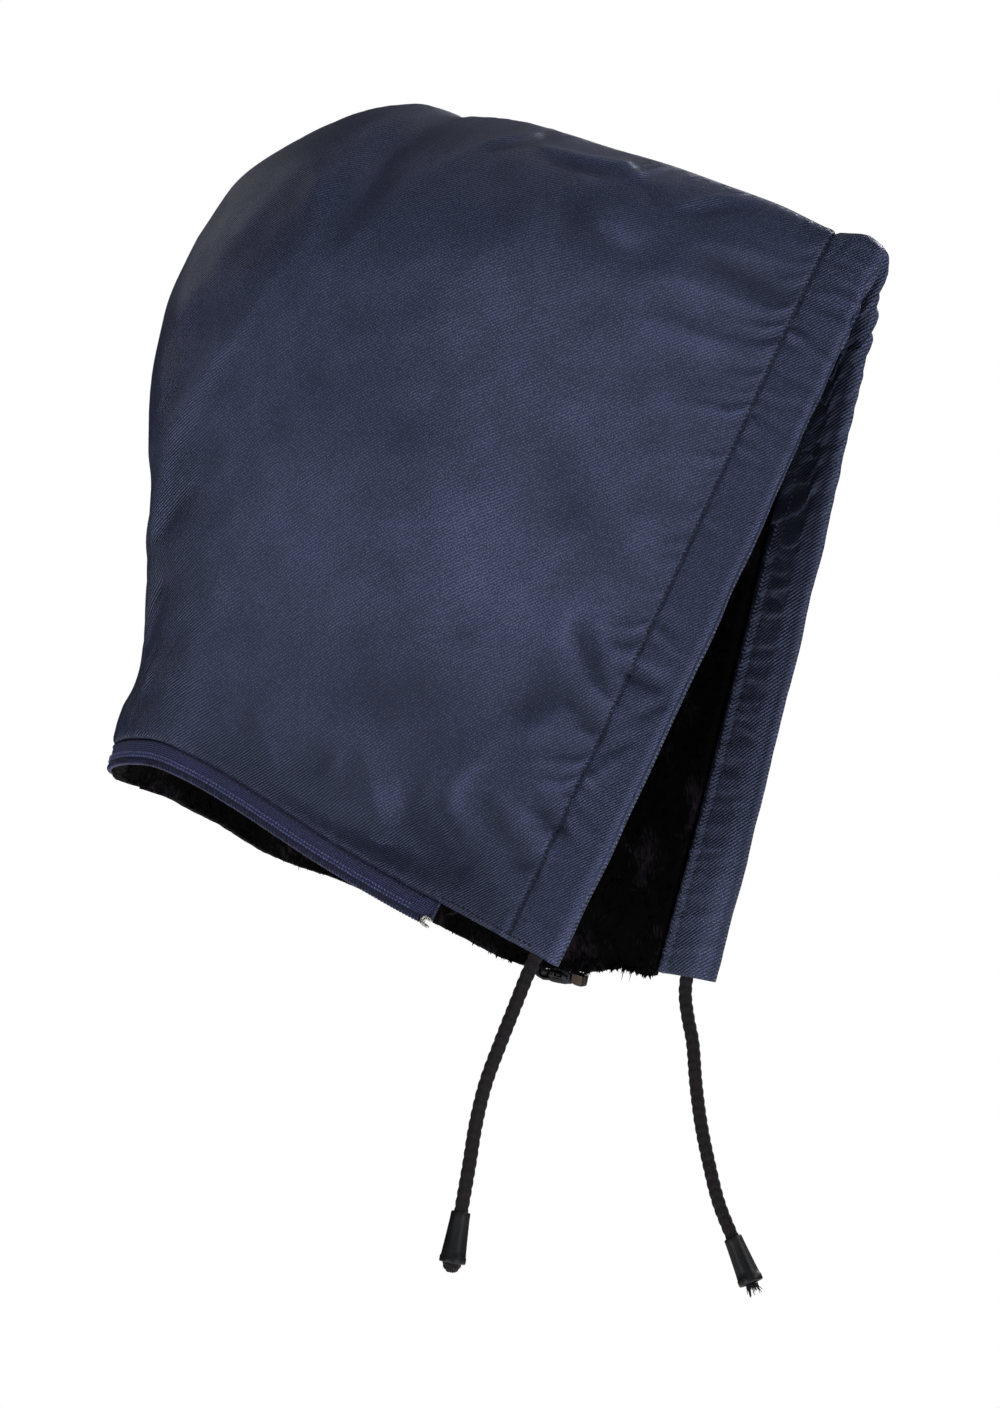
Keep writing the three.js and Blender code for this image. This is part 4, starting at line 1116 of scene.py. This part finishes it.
def side_stitches(side, outer, normals, facing, hem_out, pitch):
    """Dark stitches of the hem outside, the facing and the neck edge, and pale bumps of the bar tack and the
    facing's rib."""
    tack = slice(HEM_COLUMNS - 2, HEM_COLUMNS - 7, -1)
    rib, groove = (facing[FACING_BEHIND.index(behind)] for behind in (RIB_BEHIND, GROOVE_BEHIND))
    inward = np.broadcast_to(-hem_out, rib.shape)
    last = int(np.searchsorted(shell_grid(side)[0][:, 0], ZIP_START))
    top = int(np.searchsorted(row_shares(SHELL_ROWS), RIB_TOP))
    # Line, normals, pitch, length, width and height of a stitch, and how deep it sits
    dark = [
        (outer[HEM_COLUMNS, 1:-6], normals[HEM_COLUMNS, 1:-6], pitch, pitch * 0.6, 1.4, 1.4, -0.35),
        (groove[2:-6], inward[2:-6], pitch, pitch * 0.6, 1.3, 1.1, -0.2),
        (outer[6:last, 1], normals[6:last, 1], pitch, pitch * 0.7, 0.9, 0.9, -0.2),
    ]
    pale = [
        (outer[tack, 5], normals[tack, 5], 1.9, 1.1, 1.1, 1.0, -0.2),
        (rib[2:top], inward[2:top], pitch * 0.8, pitch * 0.66, 1.7, 1.2, -0.05),
    ]
    return [joined([stitch_row(*row) for row in rows]) for rows in (dark, pale)]


def lining_grid(side, depth):
    """Grid of a lining layer from behind the hem to the back seam, and its shares of the way back."""
    columns, rows_count = LINING_GRID
    rows = row_shares(rows_count)
    first = (CASING_WIDTH + LINING_STEP) * share_per_mm(side, rows)
    s = mix(first, 1, row_shares(columns)[:, None])
    return panel_points(side, s, np.broadcast_to(rows, s.shape), depth), s


def hang_length(side, s, seed):
    """How far the pile hangs below the neck edge: little at the front, full round the head, ragged."""
    run = s * NECK_LENGTH[side]
    ragged = 1.0 * ripple(run, 7.0, seed) + 0.6 * ripple(run, 3.4, seed + 1)
    hang = np.interp(s, PILE_HANG[side][:, 0], PILE_HANG[side][:, 1])
    return hang + ragged * mix(0.9, 0.12, smooth(0.22, 0.34, s))


def pile_sheet(side):
    """The lining: a backing and an uneven pile face, closed round the edges, hanging below the neck edge.
    The face is lowered by 0.9 * ripple * ripple + 0.5 * ripple, held within the lumps' height."""
    seed = {"right": 21, "left": 61}[side]
    face_depth = PILE_BACK + PILE_WALL - PILE_LUMPS
    outer, s = lining_grid(side, PILE_BACK)
    inner, _ = lining_grid(side, face_depth)
    normals = grid_normals(inner, side)
    x, z = inner[..., 0], inner[..., 2]
    lumps = 0.9 * ripple(x + 0.3 * z, 8.0, seed) * ripple(z, 11.0, seed + 1)
    lumps += 0.5 * ripple(x - z, 5.0, seed + 2)
    inner = inner - normals * np.clip(lumps, -PILE_LUMPS, PILE_LUMPS)[..., None]
    edge_s = s[:, 0]
    hang = hang_length(side, edge_s, seed + 3)
    outer = np.concatenate([below_neck(side, edge_s, PILE_BACK, hang)[:, None], outer], axis=1)
    inner = np.concatenate([below_neck(side, edge_s, face_depth, hang - 0.8)[:, None], inner], axis=1)
    columns, rows = outer.shape[:2]
    count = columns * rows

    def strip(first, step, turned):
        """Faces between the two layers along one edge."""
        quads = np.stack([first, first + step, first + step + count, first + count], axis=1)
        return (quads[:, ::-1] if turned else quads).tolist()

    up, back = np.arange(rows - 1), np.arange(columns - 1) * rows
    faces = grid_faces(columns, rows) + [face[::-1] for face in grid_faces(columns, rows, start=count)]
    faces += strip(up, 1, False) + strip((columns - 1) * rows + up, 1, True)
    faces += strip(back, rows, True) + strip(back + rows - 1, rows, False)
    points = np.concatenate([outer.reshape(-1, 3), inner.reshape(-1, 3)])
    return points, facing_out(points, faces), inner, normals


def pile_locks(side, inner, normals, count, length):
    """Locks of hair on the pile face, one in four on its lower edge: each a three-sided spike that leaves the
    backing, bends down and comes to a point. Root, middle and tip are set apart by length * (normal, down
    and random parts)."""
    random = np.random.default_rng({"right": 5, "left": 9}[side])
    columns, rows = inner.shape[:2]
    u = random.uniform(0.3, columns - 1.7, count)
    v = random.uniform(0.4, rows - 3.0, count)
    edge = count // EDGE_LOCKS
    v[:edge] = random.uniform(0.0, 0.9, edge)
    i, j = u.astype(int), v.astype(int)
    fu, fv = (u - i)[:, None], (v - j)[:, None]
    root = mix(mix(inner[i, j], inner[i + 1, j], fu), mix(inner[i, j + 1], inner[i + 1, j + 1], fu), fv)
    inward = -normals[i, np.maximum(j - 1, 0)]
    swirl = np.stack([
        ripple(root[:, 0] + root[:, 2], 34.0, 7), ripple(root[:, 2] - root[:, 0], 29.0, 8),
        np.zeros(count),
    ], axis=1) * LOCK_SWIRL
    down = unit(np.array([0.1, 0, -1.0]) + swirl + random.normal(0, LOCK_SPREAD, (count, 3)))
    reach = length * random.uniform(*LOCK_REACH, count)[:, None]
    behind_front = NECK_POINTS[side][0][0] * 0.3 - root[:edge, :1]
    reach[:edge] *= mix(*EDGE_LOCK_REACH, smooth(0.0, 60.0, behind_front))
    root = root - inward * LOCK_SINK
    middle = root + reach * (0.22 * inward + 0.33 * down)
    tip = middle + reach * (0.04 * inward + 0.62 * down)
    across = unit(np.cross(down, inward))
    half = random.uniform(*LOCK_HALF_WIDTH, count)[:, None]
    half[:edge] *= EDGE_LOCK_WIDTH
    third = unit(np.cross(across, down))
    ring = [across, -0.5 * across + 0.8 * third, -0.5 * across - 0.8 * third]
    lower = [root + corner * half for corner in ring]
    centre = [middle + corner * half * 0.75 for corner in ring]
    spike = np.stack([*lower, *centre, tip], axis=1)
    shape = [[2, 1, 0], [0, 1, 4, 3], [1, 2, 5, 4], [2, 0, 3, 5], [3, 4, 6], [4, 5, 6], [5, 3, 6]]
    base = np.arange(count)[:, None] * spike.shape[1]
    faces = []
    for face in shape:
        faces += (base + face).tolist()
    return spike.reshape(-1, 3), faces


def band_points(turns, depth, length):
    """Points of the zip band, below the neck edge at a turn: -1 right front corner, 0 nape, 1 left front
    corner. Over the nape both halves take the left side's form, so that the band is flat there."""
    turns, length = np.broadcast_arrays(np.asarray(turns, float), np.asarray(length, float))
    s = np.sin((1 - np.abs(turns)) * np.pi / 2)
    left = below_neck("left", s, depth, length)
    right = below_neck("right", s, depth, length)
    points = np.where((turns < -NAPE_FLAT)[..., None], right, left)
    points[..., 1] = np.sign(turns + 1e-12) * np.abs(points[..., 1])
    return points


def band_turns(right_share, left_share, count):
    """Even turns from the right end of the zip to its left end."""
    ends = [1 - math.asin(share) / (math.pi / 2) for share in (right_share, left_share)]
    return np.linspace(-ends[0], ends[1], count)


def zip_tape():
    """The tape: a flat section with rounded edges carried along the neck edge. Its outer face has ribs,
    inset - rib * cos(2 pi * drop / spacing)."""
    turns = band_turns(ZIP_START, ZIP_END, TAPE_COLUMNS)
    top, low, soft = FIT_GAP, FIT_GAP + TAPE_DROP, TAPE_EDGE_ROUND
    section = [
        (TAPE_INSET - TAPE_RIB * math.cos((drop - FIT_GAP) * 2 * math.pi / TAPE_RIB_SPACING), drop)
        for drop in np.linspace(top + soft, low - soft, 9)
    ]
    section.append((TAPE_MIDDLE, low))
    section += [(TAPE_INSET + TAPE_WALL, drop) for drop in np.linspace(low - soft, top + soft, 5)]
    section.append((TAPE_MIDDLE, top))
    run = run_along(band_points(turns, TAPE_INSET, FIT_GAP))
    face, back = (band_points(turns, depth, 0.0) for depth in (TAPE_INSET, TAPE_INSET + TAPE_WALL))
    down = unit(band_points(turns, TAPE_INSET, TAPE_DROP) - face)
    loop = np.array([
        mix(face, back, (depth - TAPE_INSET) / TAPE_WALL) + down * drop for depth, drop in section
    ])
    uv = np.array([np.stack([run, np.full_like(run, drop)], axis=-1) for _, drop in section])
    faces = grid_faces(len(section), len(turns), closed_columns=True)
    faces.append([k * len(turns) for k in range(len(section))])
    faces.append([k * len(turns) + len(turns) - 1 for k in range(len(section))][::-1])
    return loop, facing_out(loop, faces), uv / 1000, (face, down, unit(face - back))


def tape_stitches(face, down, outward, pitch):
    """Two rows of stitches that hold the coil, and one row that holds the tape to the cloth."""
    coil_rows = []
    for drop, sink in COIL_STITCHES:
        line = (face + down * drop + outward * 0.1)[5:-12]
        coil_rows.append(stitch_row(line, outward[5:-12], pitch, pitch * 0.52, 1.25, 1.0, sink))
    seam = (face + down * 1.2 + outward * 0.15)[3:-3]
    return stitch_row(seam, outward[3:-3], 2.2, 1.5, 0.8, 0.7), joined(coil_rows)


def coil_helix(pitch):
    """The zip coil: a helix round the band's lower edge, centre + a cos w * down + b sin w * outward, and
    the flat core inside it."""
    start = ZIP_START + (STOP_LENGTH + COIL_END_GAP + FIT_GAP) / NECK_LENGTH["right"]
    end = ZIP_END + (BOX_LENGTH + SLIDER_LENGTH + COIL_END_GAP + FIT_GAP) / NECK_LENGTH["left"]
    turns = band_turns(start, end, COIL_COLUMNS)
    centre = band_points(turns, TAPE_MIDDLE, COIL_DROP + COIL_HEIGHT / 2)
    top = band_points(turns, TAPE_MIDDLE, 0.0)
    down, outward = unit(centre - top), unit(band_points(turns, TAPE_MIDDLE - 1.0, 0.0) - top)
    run = run_along(centre)
    windings = int(run[-1] / pitch)
    places = np.linspace(0, run[-1], windings * COIL_POINTS_PER_TURN + 1)
    angle = (places / run[-1] * windings * 2 * np.pi)[:, None]
    path = read_at(places, run, centre)
    path += read_at(places, run, down) * (COIL_HEIGHT / 2 - COIL_WIRE) * np.cos(angle)
    path += read_at(places, run, outward) * (COIL_WALL / 2 - COIL_WIRE + 0.1) * np.sin(angle)
    core = np.stack([centre + down * low + outward * out for low, out in CORE_CORNERS])
    core_faces = grid_faces(4, len(turns), closed_columns=True)
    core_faces.append([k * len(turns) for k in range(4)])
    core_faces.append([k * len(turns) + len(turns) - 1 for k in (3, 2, 1, 0)])
    return tube(path, np.full(len(path), COIL_WIRE), 6), (core.reshape(-1, 3), core_faces)


def neck_frame(side, share, ahead, drop):
    """Place on the neck edge a length in front of a share, with axes to the front, down and to the left."""
    s = np.array([share - ahead / NECK_LENGTH[side]])
    place = below_neck(side, s, TAPE_MIDDLE, drop)[0]
    along = unit(below_neck(side, s - SLOPE_SHARE / 2, TAPE_MIDDLE, drop)[0] - place)
    down = place - below_neck(side, s, TAPE_MIDDLE, 0.0)[0]
    down = unit(down - along * (down @ along))
    return place, np.stack([along, down, np.cross(along, down)])


def superblock(half_sizes, power, sides=24, rings=14):
    """A rounded block: sign(cos) |cos| ^ power forms of an ellipsoid, scaled to its half sizes."""
    lift = np.linspace(-np.pi / 2, np.pi / 2, rings + 1)
    turn = np.linspace(0, 2 * np.pi, sides, endpoint=False)

    def soft(value):
        """A power that keeps the sign."""
        return np.sign(value) * np.abs(value) ** power

    ring = lift[1:-1, None]
    rings = np.stack([
        soft(np.cos(ring)) * soft(np.cos(turn)), soft(np.cos(ring)) * soft(np.sin(turn)),
        soft(np.sin(ring)) * np.ones_like(turn),
    ], axis=-1)
    points, faces = with_poles(rings, (0, 0, -1), (0, 0, 1))
    points = points * np.asarray(half_sizes)
    return points, facing_out(points, faces)


def zip_stop():
    """The stop: wire bent to a U on each face of the tape, and joined over the tape's edge at the bend and
    the ends: a round carried along two arms and the half circle between them."""
    half_length, half_height = STOP_LENGTH / 2 - STOP_WIRE, STOP_HEIGHT / 2 - STOP_WIRE
    turn = np.linspace(-np.pi / 2, np.pi / 2, 9)
    bend_x = 0.2 - half_length + half_height * 0.5 * (1 - np.cos(turn))
    bend = np.stack([bend_x, half_height * np.sin(turn)], axis=1)
    outline = np.vstack([[(half_length, -half_height)], bend, [(half_length, half_height)]])
    path = on_curve(outline, np.linspace(0, 1, 40))
    face = TAPE_WALL / 2 + STOP_WIRE
    parts = []
    for side in (-1, 1):
        wire = np.column_stack([path, np.full(len(path), side * face)])
        parts.append(tube(wire, np.full(len(wire), STOP_WIRE), 10))
    for corner in (path[0], path[20], path[-1]):
        across = np.column_stack([np.tile(corner, (6, 1)), np.linspace(-face, face, 6)])
        parts.append(tube(across, np.full(6, STOP_WIRE * 0.95), 10))
    return joined(parts)


def placed_block(half_sizes, power, place):
    """A rounded block at a place."""
    points, faces = superblock(half_sizes, power)
    return points + place, faces


def zip_slider():
    """The slider: two shields with a bridge at one end, and a short pull that lies along it."""
    half, half_length, shield = SLIDER_WALL / 2, SLIDER_LENGTH / 2, 0.75
    parts = []
    for side in (-1, 1):
        points, faces = superblock((half_length, SLIDER_HEIGHT / 2, shield), 0.45)
        points[:, 1] *= 1 - 0.22 * smooth(-half_length, half_length, points[:, 0])
        points[:, 2] += side * (half - shield)
        parts.append((points, faces))
    parts += [
        placed_block((1.4, SLIDER_HEIGHT / 2 - 1.2, half - 0.3), 0.5, (half_length - 2.2, 0, 0)),
        placed_block((half_length - 1.2, 1.3, 0.7), 0.5, (0, 0, -half - 0.6)),
        placed_block((1.6, 1.5, 1.3), 0.6, (2.0 - half_length, 0, -half - 0.3)),
    ]
    points, faces = superblock((5.2, 2.6, 1.1), 0.4)
    points[:, 1] += 1.4 + 0.5 * np.cos(points[:, 0] / 1.7)
    points[:, 0] -= half_length + 3.0
    return joined([*parts, (points, faces)])


def zip_box():
    """The retainer box: a rounded block with a groove round it and a small foot."""
    length, height, wall = BOX_LENGTH / 2, BOX_HEIGHT / 2, BOX_WALL / 2
    return joined([
        superblock((length, height - 0.4, wall), 0.35),
        superblock((length - 0.8, height, wall - 0.7), 0.45),
        superblock((0.8, height - 0.2, wall + 0.25), 0.5),
    ])


def braided_tube(side, pitch):
    """The braid: radius * (0.96 + 0.095 * sign(b) * |b| ^ 0.6), b = cos(3 a + k l) * cos(3 a - k l), which
    makes lozenges of one pitch."""
    path = on_curve(np.array(CORD_ROUTES[side]) * 1000, np.linspace(0, 1, 420))
    run = run_along(path)
    sides = 32
    angle = np.linspace(0, 2 * np.pi, sides, endpoint=False)
    turn = np.pi * run[:, None] / pitch
    bumps = np.cos(3 * angle + turn) * np.cos(3 * angle - turn)
    radius = CORD_DIAMETER / 2 * (0.96 + 0.095 * np.sign(bumps) * np.abs(bumps) ** 0.6)
    points, faces = tube(path, radius, sides)
    around = angle * CORD_DIAMETER / 2
    uv = np.stack(np.broadcast_arrays(around[None, :], run[:, None]), axis=-1) / 1000
    return points, faces, uv


def at_cord_end(points, side, ahead):
    """Turns a shape made along -Z so that it goes on from the end of a cord."""
    path = on_curve(np.array(CORD_ROUTES[side]) * 1000, np.linspace(0, 1, 400))
    tangent = unit(path[-1] - path[-3])
    turn = Vector((0, 0, -1)).rotation_difference(Vector(tangent)).to_matrix()
    return np.asarray(points).reshape(-1, 3) @ np.array(turn).T + path[-1] + tangent * ahead


def bell_form():
    """The cord end: a socket, a plain neck, a skirt that flares to a rim, and a hollow foot, turned round."""
    top, socket = BELL_SOCKET, CORD_DIAMETER / 2 + 0.05
    rim = top - BELL_LENGTH
    hollow = BELL_DIAMETER / 2 - BELL_WALL
    neck, foot = BELL_TOP_DIAMETER / 2, BELL_DIAMETER / 2
    profile = [(0, rim + BELL_HOLLOW), (hollow * 0.92, rim + BELL_HOLLOW), (hollow, rim + BELL_HOLLOW - 0.5)]
    profile += [(hollow, rim + 0.4), (hollow + 0.35, rim), (foot - 0.4, rim), (foot - 0.08, rim + 0.25)]
    profile += [(foot, rim + 0.7), (foot, rim + 2.6), (foot - 0.3, rim + 3.1)]
    for share in np.linspace(0.15, 1, 9):
        profile.append((mix(foot - 0.3, neck, share ** 0.85), mix(rim + 3.1, top - 2.6, share)))
    profile += [(neck, top - 2.3), (neck - 0.05, top - 0.6), (neck - 0.2, top - 0.15), (neck - 0.5, top)]
    profile += [(socket, top), (socket, 0.2), (socket - 0.2, 0), (0, 0)]
    points, faces = revolve(profile, 40)
    return points, facing_out(points, faces)


def knot_form():
    """The knot under the right cord end: three turns of strand wound round each other, ends melted."""
    parts = []
    for strand in range(3):
        w = np.linspace(0, 1, 40)
        angle = 2 * np.pi * (w * 1.6 + strand / 3)
        swell = np.sin(np.pi * np.clip(w * 1.05, 0, 1)) ** 0.5
        radius = (KNOT_DIAMETER / 2 - 0.7) * (0.35 + 0.65 * swell)
        path = np.stack([radius * np.cos(angle), radius * np.sin(angle), -KNOT_LENGTH * w], axis=1)
        parts.append(tube(path, 1.5 * (0.75 + 0.25 * swell), 12))
    core = np.outer(np.linspace(0.2, -KNOT_LENGTH + 0.8, 12), (0, 0, 1))
    parts.append(tube(core, np.full(12, 2.2), 12))
    return joined(parts)


def tuft_form():
    """The frayed end of the left cord: strands that spread as they leave the cord end, with split ends."""
    random = np.random.default_rng(17)
    parts = []
    for strand in range(TUFT_STRANDS):
        turn = strand * GOLDEN_ANGLE
        start = 2.3 * math.sqrt((strand + 0.5) / TUFT_STRANDS)
        spread = start * random.uniform(0.7, 1.8) + random.uniform(-0.4, 0.9)
        length = TUFT_LENGTH * random.uniform(0.62, 1.0)
        w = np.linspace(0, 1, 9)
        wobble = random.normal(0, 0.35, (2,))
        radius = mix(start, spread, w ** 1.6)
        bend = turn + 0.35 * w * random.normal()
        x = radius * np.cos(bend) + wobble[0] * np.sin(4 * w)
        y = radius * np.sin(bend) + wobble[1] * np.sin(5 * w)
        path = np.stack([x, y, 0.5 - length * w], axis=1)
        parts.append(tube(path, 0.42 * (1 - 0.75 * w ** 2), 6))
    return joined(parts)


# Operators

class HOOD_OT_stage(bpy.types.Operator):
    """Sets up the camera, the floor, the light and the white surround"""
    bl_idname = "hood.stage"
    bl_label = "Stage"

    def execute(self, context):
        scene = context.scene
        turn, rise = CAMERA_TURN, CAMERA_RISE
        look = Vector((-math.sin(turn) * math.cos(rise), math.cos(turn) * math.cos(rise), -math.sin(rise)))
        right = Vector((math.cos(turn), math.sin(turn), 0))
        target = Vector(CAMERA_TARGET)
        camera = bpy.data.objects.new("camera", bpy.data.cameras.new("camera"))
        camera.data.sensor_fit = "VERTICAL"
        camera.data.sensor_height = CAMERA_SENSOR
        camera.data.lens = FOCAL_PIXELS / IMAGE_HEIGHT * CAMERA_SENSOR
        camera.location = target - look * CAMERA_DISTANCE
        camera.rotation_euler = look.to_track_quat("-Z", "Y").to_euler()
        scene.collection.objects.link(camera)
        scene.camera = camera

        w = np.linspace(-FLOOR_HALF_WIDTH, FLOOR_HALF_WIDTH, FLOOR_POINTS)
        x, y = np.meshgrid(w, w, indexing="ij")
        floor = np.stack([x, y, np.full(x.shape, FLOOR_HEIGHT)], axis=-1)
        mesh = bpy.data.meshes.new("floor")
        mesh.from_pydata(floor.reshape(-1, 3).tolist(), [], grid_faces(FLOOR_POINTS, FLOOR_POINTS))
        mesh.materials.append(material_for("studio_floor"))
        floor_object = bpy.data.objects.new("floor", mesh)
        scene.collection.objects.link(floor_object)

        world = bpy.data.worlds.new("studio")
        world.use_nodes = True
        background = world.node_tree.nodes["Background"]
        background.inputs["Color"].default_value = (1, 1, 1, 1)
        background.inputs["Strength"].default_value = 1.0
        world.cycles_visibility.diffuse = False
        world.cycles_visibility.glossy = False
        scene.world = world
        scene.view_settings.view_transform = "Standard"

        for name, side, rise, power in LAMPS:
            side, rise = math.radians(side), math.radians(rise)
            level = -look * math.cos(side) + right * math.sin(side)
            place = target + (level * math.cos(rise) + Vector((0, 0, math.sin(rise)))) * LAMP_DISTANCE
            light = bpy.data.lights.new(name, "AREA")
            light.shape, light.size, light.energy = "DISK", LAMP_SIZE, power
            lamp = bpy.data.objects.new(name, light)
            lamp.location = place
            lamp.rotation_euler = (target - place).to_track_quat("-Z", "Y").to_euler()
            scene.collection.objects.link(lamp)
        return {"FINISHED"}


class HOOD_OT_cords(bpy.types.Operator):
    """Makes the two braided cords with their moulded ends, the knot and the frayed tuft"""
    bl_idname = "hood.cords"
    bl_label = "Drawcord ends"

    def execute(self, context):
        pitch = context.scene.hood_sizes.braid_pitch * 1000
        braid, plastic = material_for("braided_cord"), material_for("black_acetal")
        stub_depth = BELL_LENGTH - BELL_SOCKET - BELL_HOLLOW + 2 * FIT_GAP
        below = {"right": ("cord_knot_right", knot_form), "left": ("cord_tuft_left", tuft_form)}
        for side in ("right", "left"):
            points, faces, uv = braided_tube(side, pitch)
            faces = facing_out(points, faces)
            cord = add_mesh(f"braided_cord_{side}", points, faces, braid, uv)
            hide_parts(f"drawcord_{side}")
            form, form_faces = bell_form()
            points = at_cord_end(form, side, FIT_GAP)
            bell = add_mesh(f"moulded_end_{side}", points, form_faces, plastic)
            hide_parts(f"cord_end_{side}")
            node, make = below[side]
            form, form_faces = make()
            stub = at_cord_end(form, side, stub_depth)
            uv = stub[:, [0, 2]] / 1000
            end = add_mesh(f"cord_below_{side}", stub, facing_out(stub, form_faces), braid, uv)
            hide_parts(node)
        return {"FINISHED"}


class HOOD_OT_shells(bpy.types.Operator):
    """Makes the two padded sides in twill with their hems and stitches"""
    bl_idname = "hood.shells"
    bl_label = "Cloth sides"

    def execute(self, context):
        pitch = context.scene.hood_sizes.stitch_pitch * 1000
        for side in ("right", "left"):
            loop, faces, uv, tone, parts = cloth_shell(side)
            shell = add_mesh(f"cloth_{side}", loop, faces, material_for("dyed_twill"), uv)
            # An attribute that carries the painted light and shade into the cloth's colour
            folds_and_painted_light = shell.data.attributes.new("folds_and_painted_light", "FLOAT", "POINT")
            folds_and_painted_light.data.foreach_set("value", tone.astype(np.float32).ravel())
            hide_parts(f"shell_{side}")
            dark, pale = side_stitches(side, *parts, pitch)
            for name, (points, faces), finish in (
                ("stitches", dark, "navy_thread"), ("facing_rib", pale, "rib_thread"),
            ):
                faces = facing_out(points, faces)
                add_mesh(f"{name}_{side}", points, faces, material_for(finish))
        points, faces = centre_seam()
        faces, uv = facing_out(points, faces), points[..., [0, 2]] / 1000
        add_mesh("centre_seam", points, faces, material_for("dyed_twill"), uv)
        return {"FINISHED"}


class HOOD_OT_lining(bpy.types.Operator):
    """Makes the pile lining and its locks of hair"""
    bl_idname = "hood.lining"
    bl_label = "Pile lining"

    def execute(self, context):
        sizes, pile = context.scene.hood_sizes, material_for("brushed_pile")
        for side in ("right", "left"):
            points, faces, inner, normals = pile_sheet(side)
            sheet = add_mesh(f"pile_{side}", points, faces, pile)
            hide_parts(f"pile_lining_{side}")
            points, faces = pile_locks(side, inner, normals, sizes.pile_hairs, sizes.pile_length * 1000)
            add_mesh(f"pile_locks_{side}", points, facing_out(points, faces), pile)
        return {"FINISHED"}


class HOOD_OT_zip(bpy.types.Operator):
    """Makes the zip tape, its coil and stitches, and the slider and box at its end"""
    bl_idname = "hood.zip"
    bl_label = "Neck zip"

    def execute(self, context):
        pitch = context.scene.hood_sizes.coil_pitch * 1000
        loop, faces, uv, lines = zip_tape()
        tape = add_mesh("zip_tape_woven", loop, faces, material_for("woven_zip_tape"), uv)
        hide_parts("zip_tape")
        wound, core = coil_helix(pitch)
        add_mesh("zip_coil_core", core[0], facing_out(*core), material_for("coil_cord"))
        nylon = material_for("nylon_coil")
        coil = add_mesh("zip_coil_wound", wound[0], facing_out(*wound), nylon)
        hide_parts("zip_coil")
        seam, rows = tape_stitches(*lines, pitch)
        for name, lot, finish in (
            ("zip_seam_stitches", seam, "navy_thread"), ("zip_tape_stitches", rows, "tape_thread"),
        ):
            add_mesh(name, lot[0], facing_out(*lot), material_for(finish))

        # Node, maker, side, where it ends, how far back and how far down its middle is, slot, finish
        slider_back, stop_back = BOX_LENGTH + SLIDER_LENGTH / 2 + FIT_GAP, STOP_LENGTH / 2 + FIT_GAP
        acetal = "black_plastic", "black_acetal"
        for node, make, side, share, back, down, (slot, finish) in (
            ("zip_slider", zip_slider, "left", ZIP_END, slider_back, SLIDER_HEIGHT / 2, acetal),
            ("zip_box", zip_box, "left", ZIP_END, BOX_LENGTH / 2, BOX_HEIGHT / 2, acetal),
            ("zip_stop", zip_stop, "right", ZIP_START, stop_back, STOP_HEIGHT / 2 - STOP_LIFT,
             ("bright_metal", "nickel_plated_brass")),
        ):
            form, form_faces = make()
            place, axes = neck_frame(side, share, -back, COIL_DROP + down)
            points = form @ axes + place
            faces = facing_out(points, form_faces)
            piece = add_mesh(f"{node}_body", points, faces, material_for(finish))
            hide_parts(node)
        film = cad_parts["zip_film"].data
        film.materials.clear()
        film.materials.append(material_for("tinted_film"))
        return {"FINISHED"}


class HOOD_PT_panel(bpy.types.Panel):
    """Lists the hood's settings and makers"""
    bl_label = "Hood"
    bl_idname = "HOOD_PT_panel"
    bl_space_type = "VIEW_3D"
    bl_region_type = "UI"
    bl_category = "Hood"

    def draw(self, context):
        for group in (context.scene.hood_sizes, context.scene.hood_colours):
            for name in group.__annotations__:
                self.layout.prop(group, name)
        for operator in OPERATORS:
            self.layout.operator(operator.bl_idname)


OPERATORS = (HOOD_OT_stage, HOOD_OT_cords, HOOD_OT_shells, HOOD_OT_lining, HOOD_OT_zip)
CLASSES = (HoodSizes, HoodColours, *OPERATORS, HOOD_PT_panel)


def register():
    for cls in CLASSES:
        bpy.utils.register_class(cls)
    bpy.types.Scene.hood_sizes = bpy.props.PointerProperty(type=HoodSizes)
    bpy.types.Scene.hood_colours = bpy.props.PointerProperty(type=HoodColours)


def unregister():
    del bpy.types.Scene.hood_colours
    del bpy.types.Scene.hood_sizes
    for cls in reversed(CLASSES):
        bpy.utils.unregister_class(cls)


def main():
    """Registers the add-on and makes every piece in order."""
    register()
    bpy.ops.hood.stage()
    bpy.ops.hood.cords()
    bpy.ops.hood.shells()
    bpy.ops.hood.lining()
    bpy.ops.hood.zip()


if __name__ == "__main__":
    main()
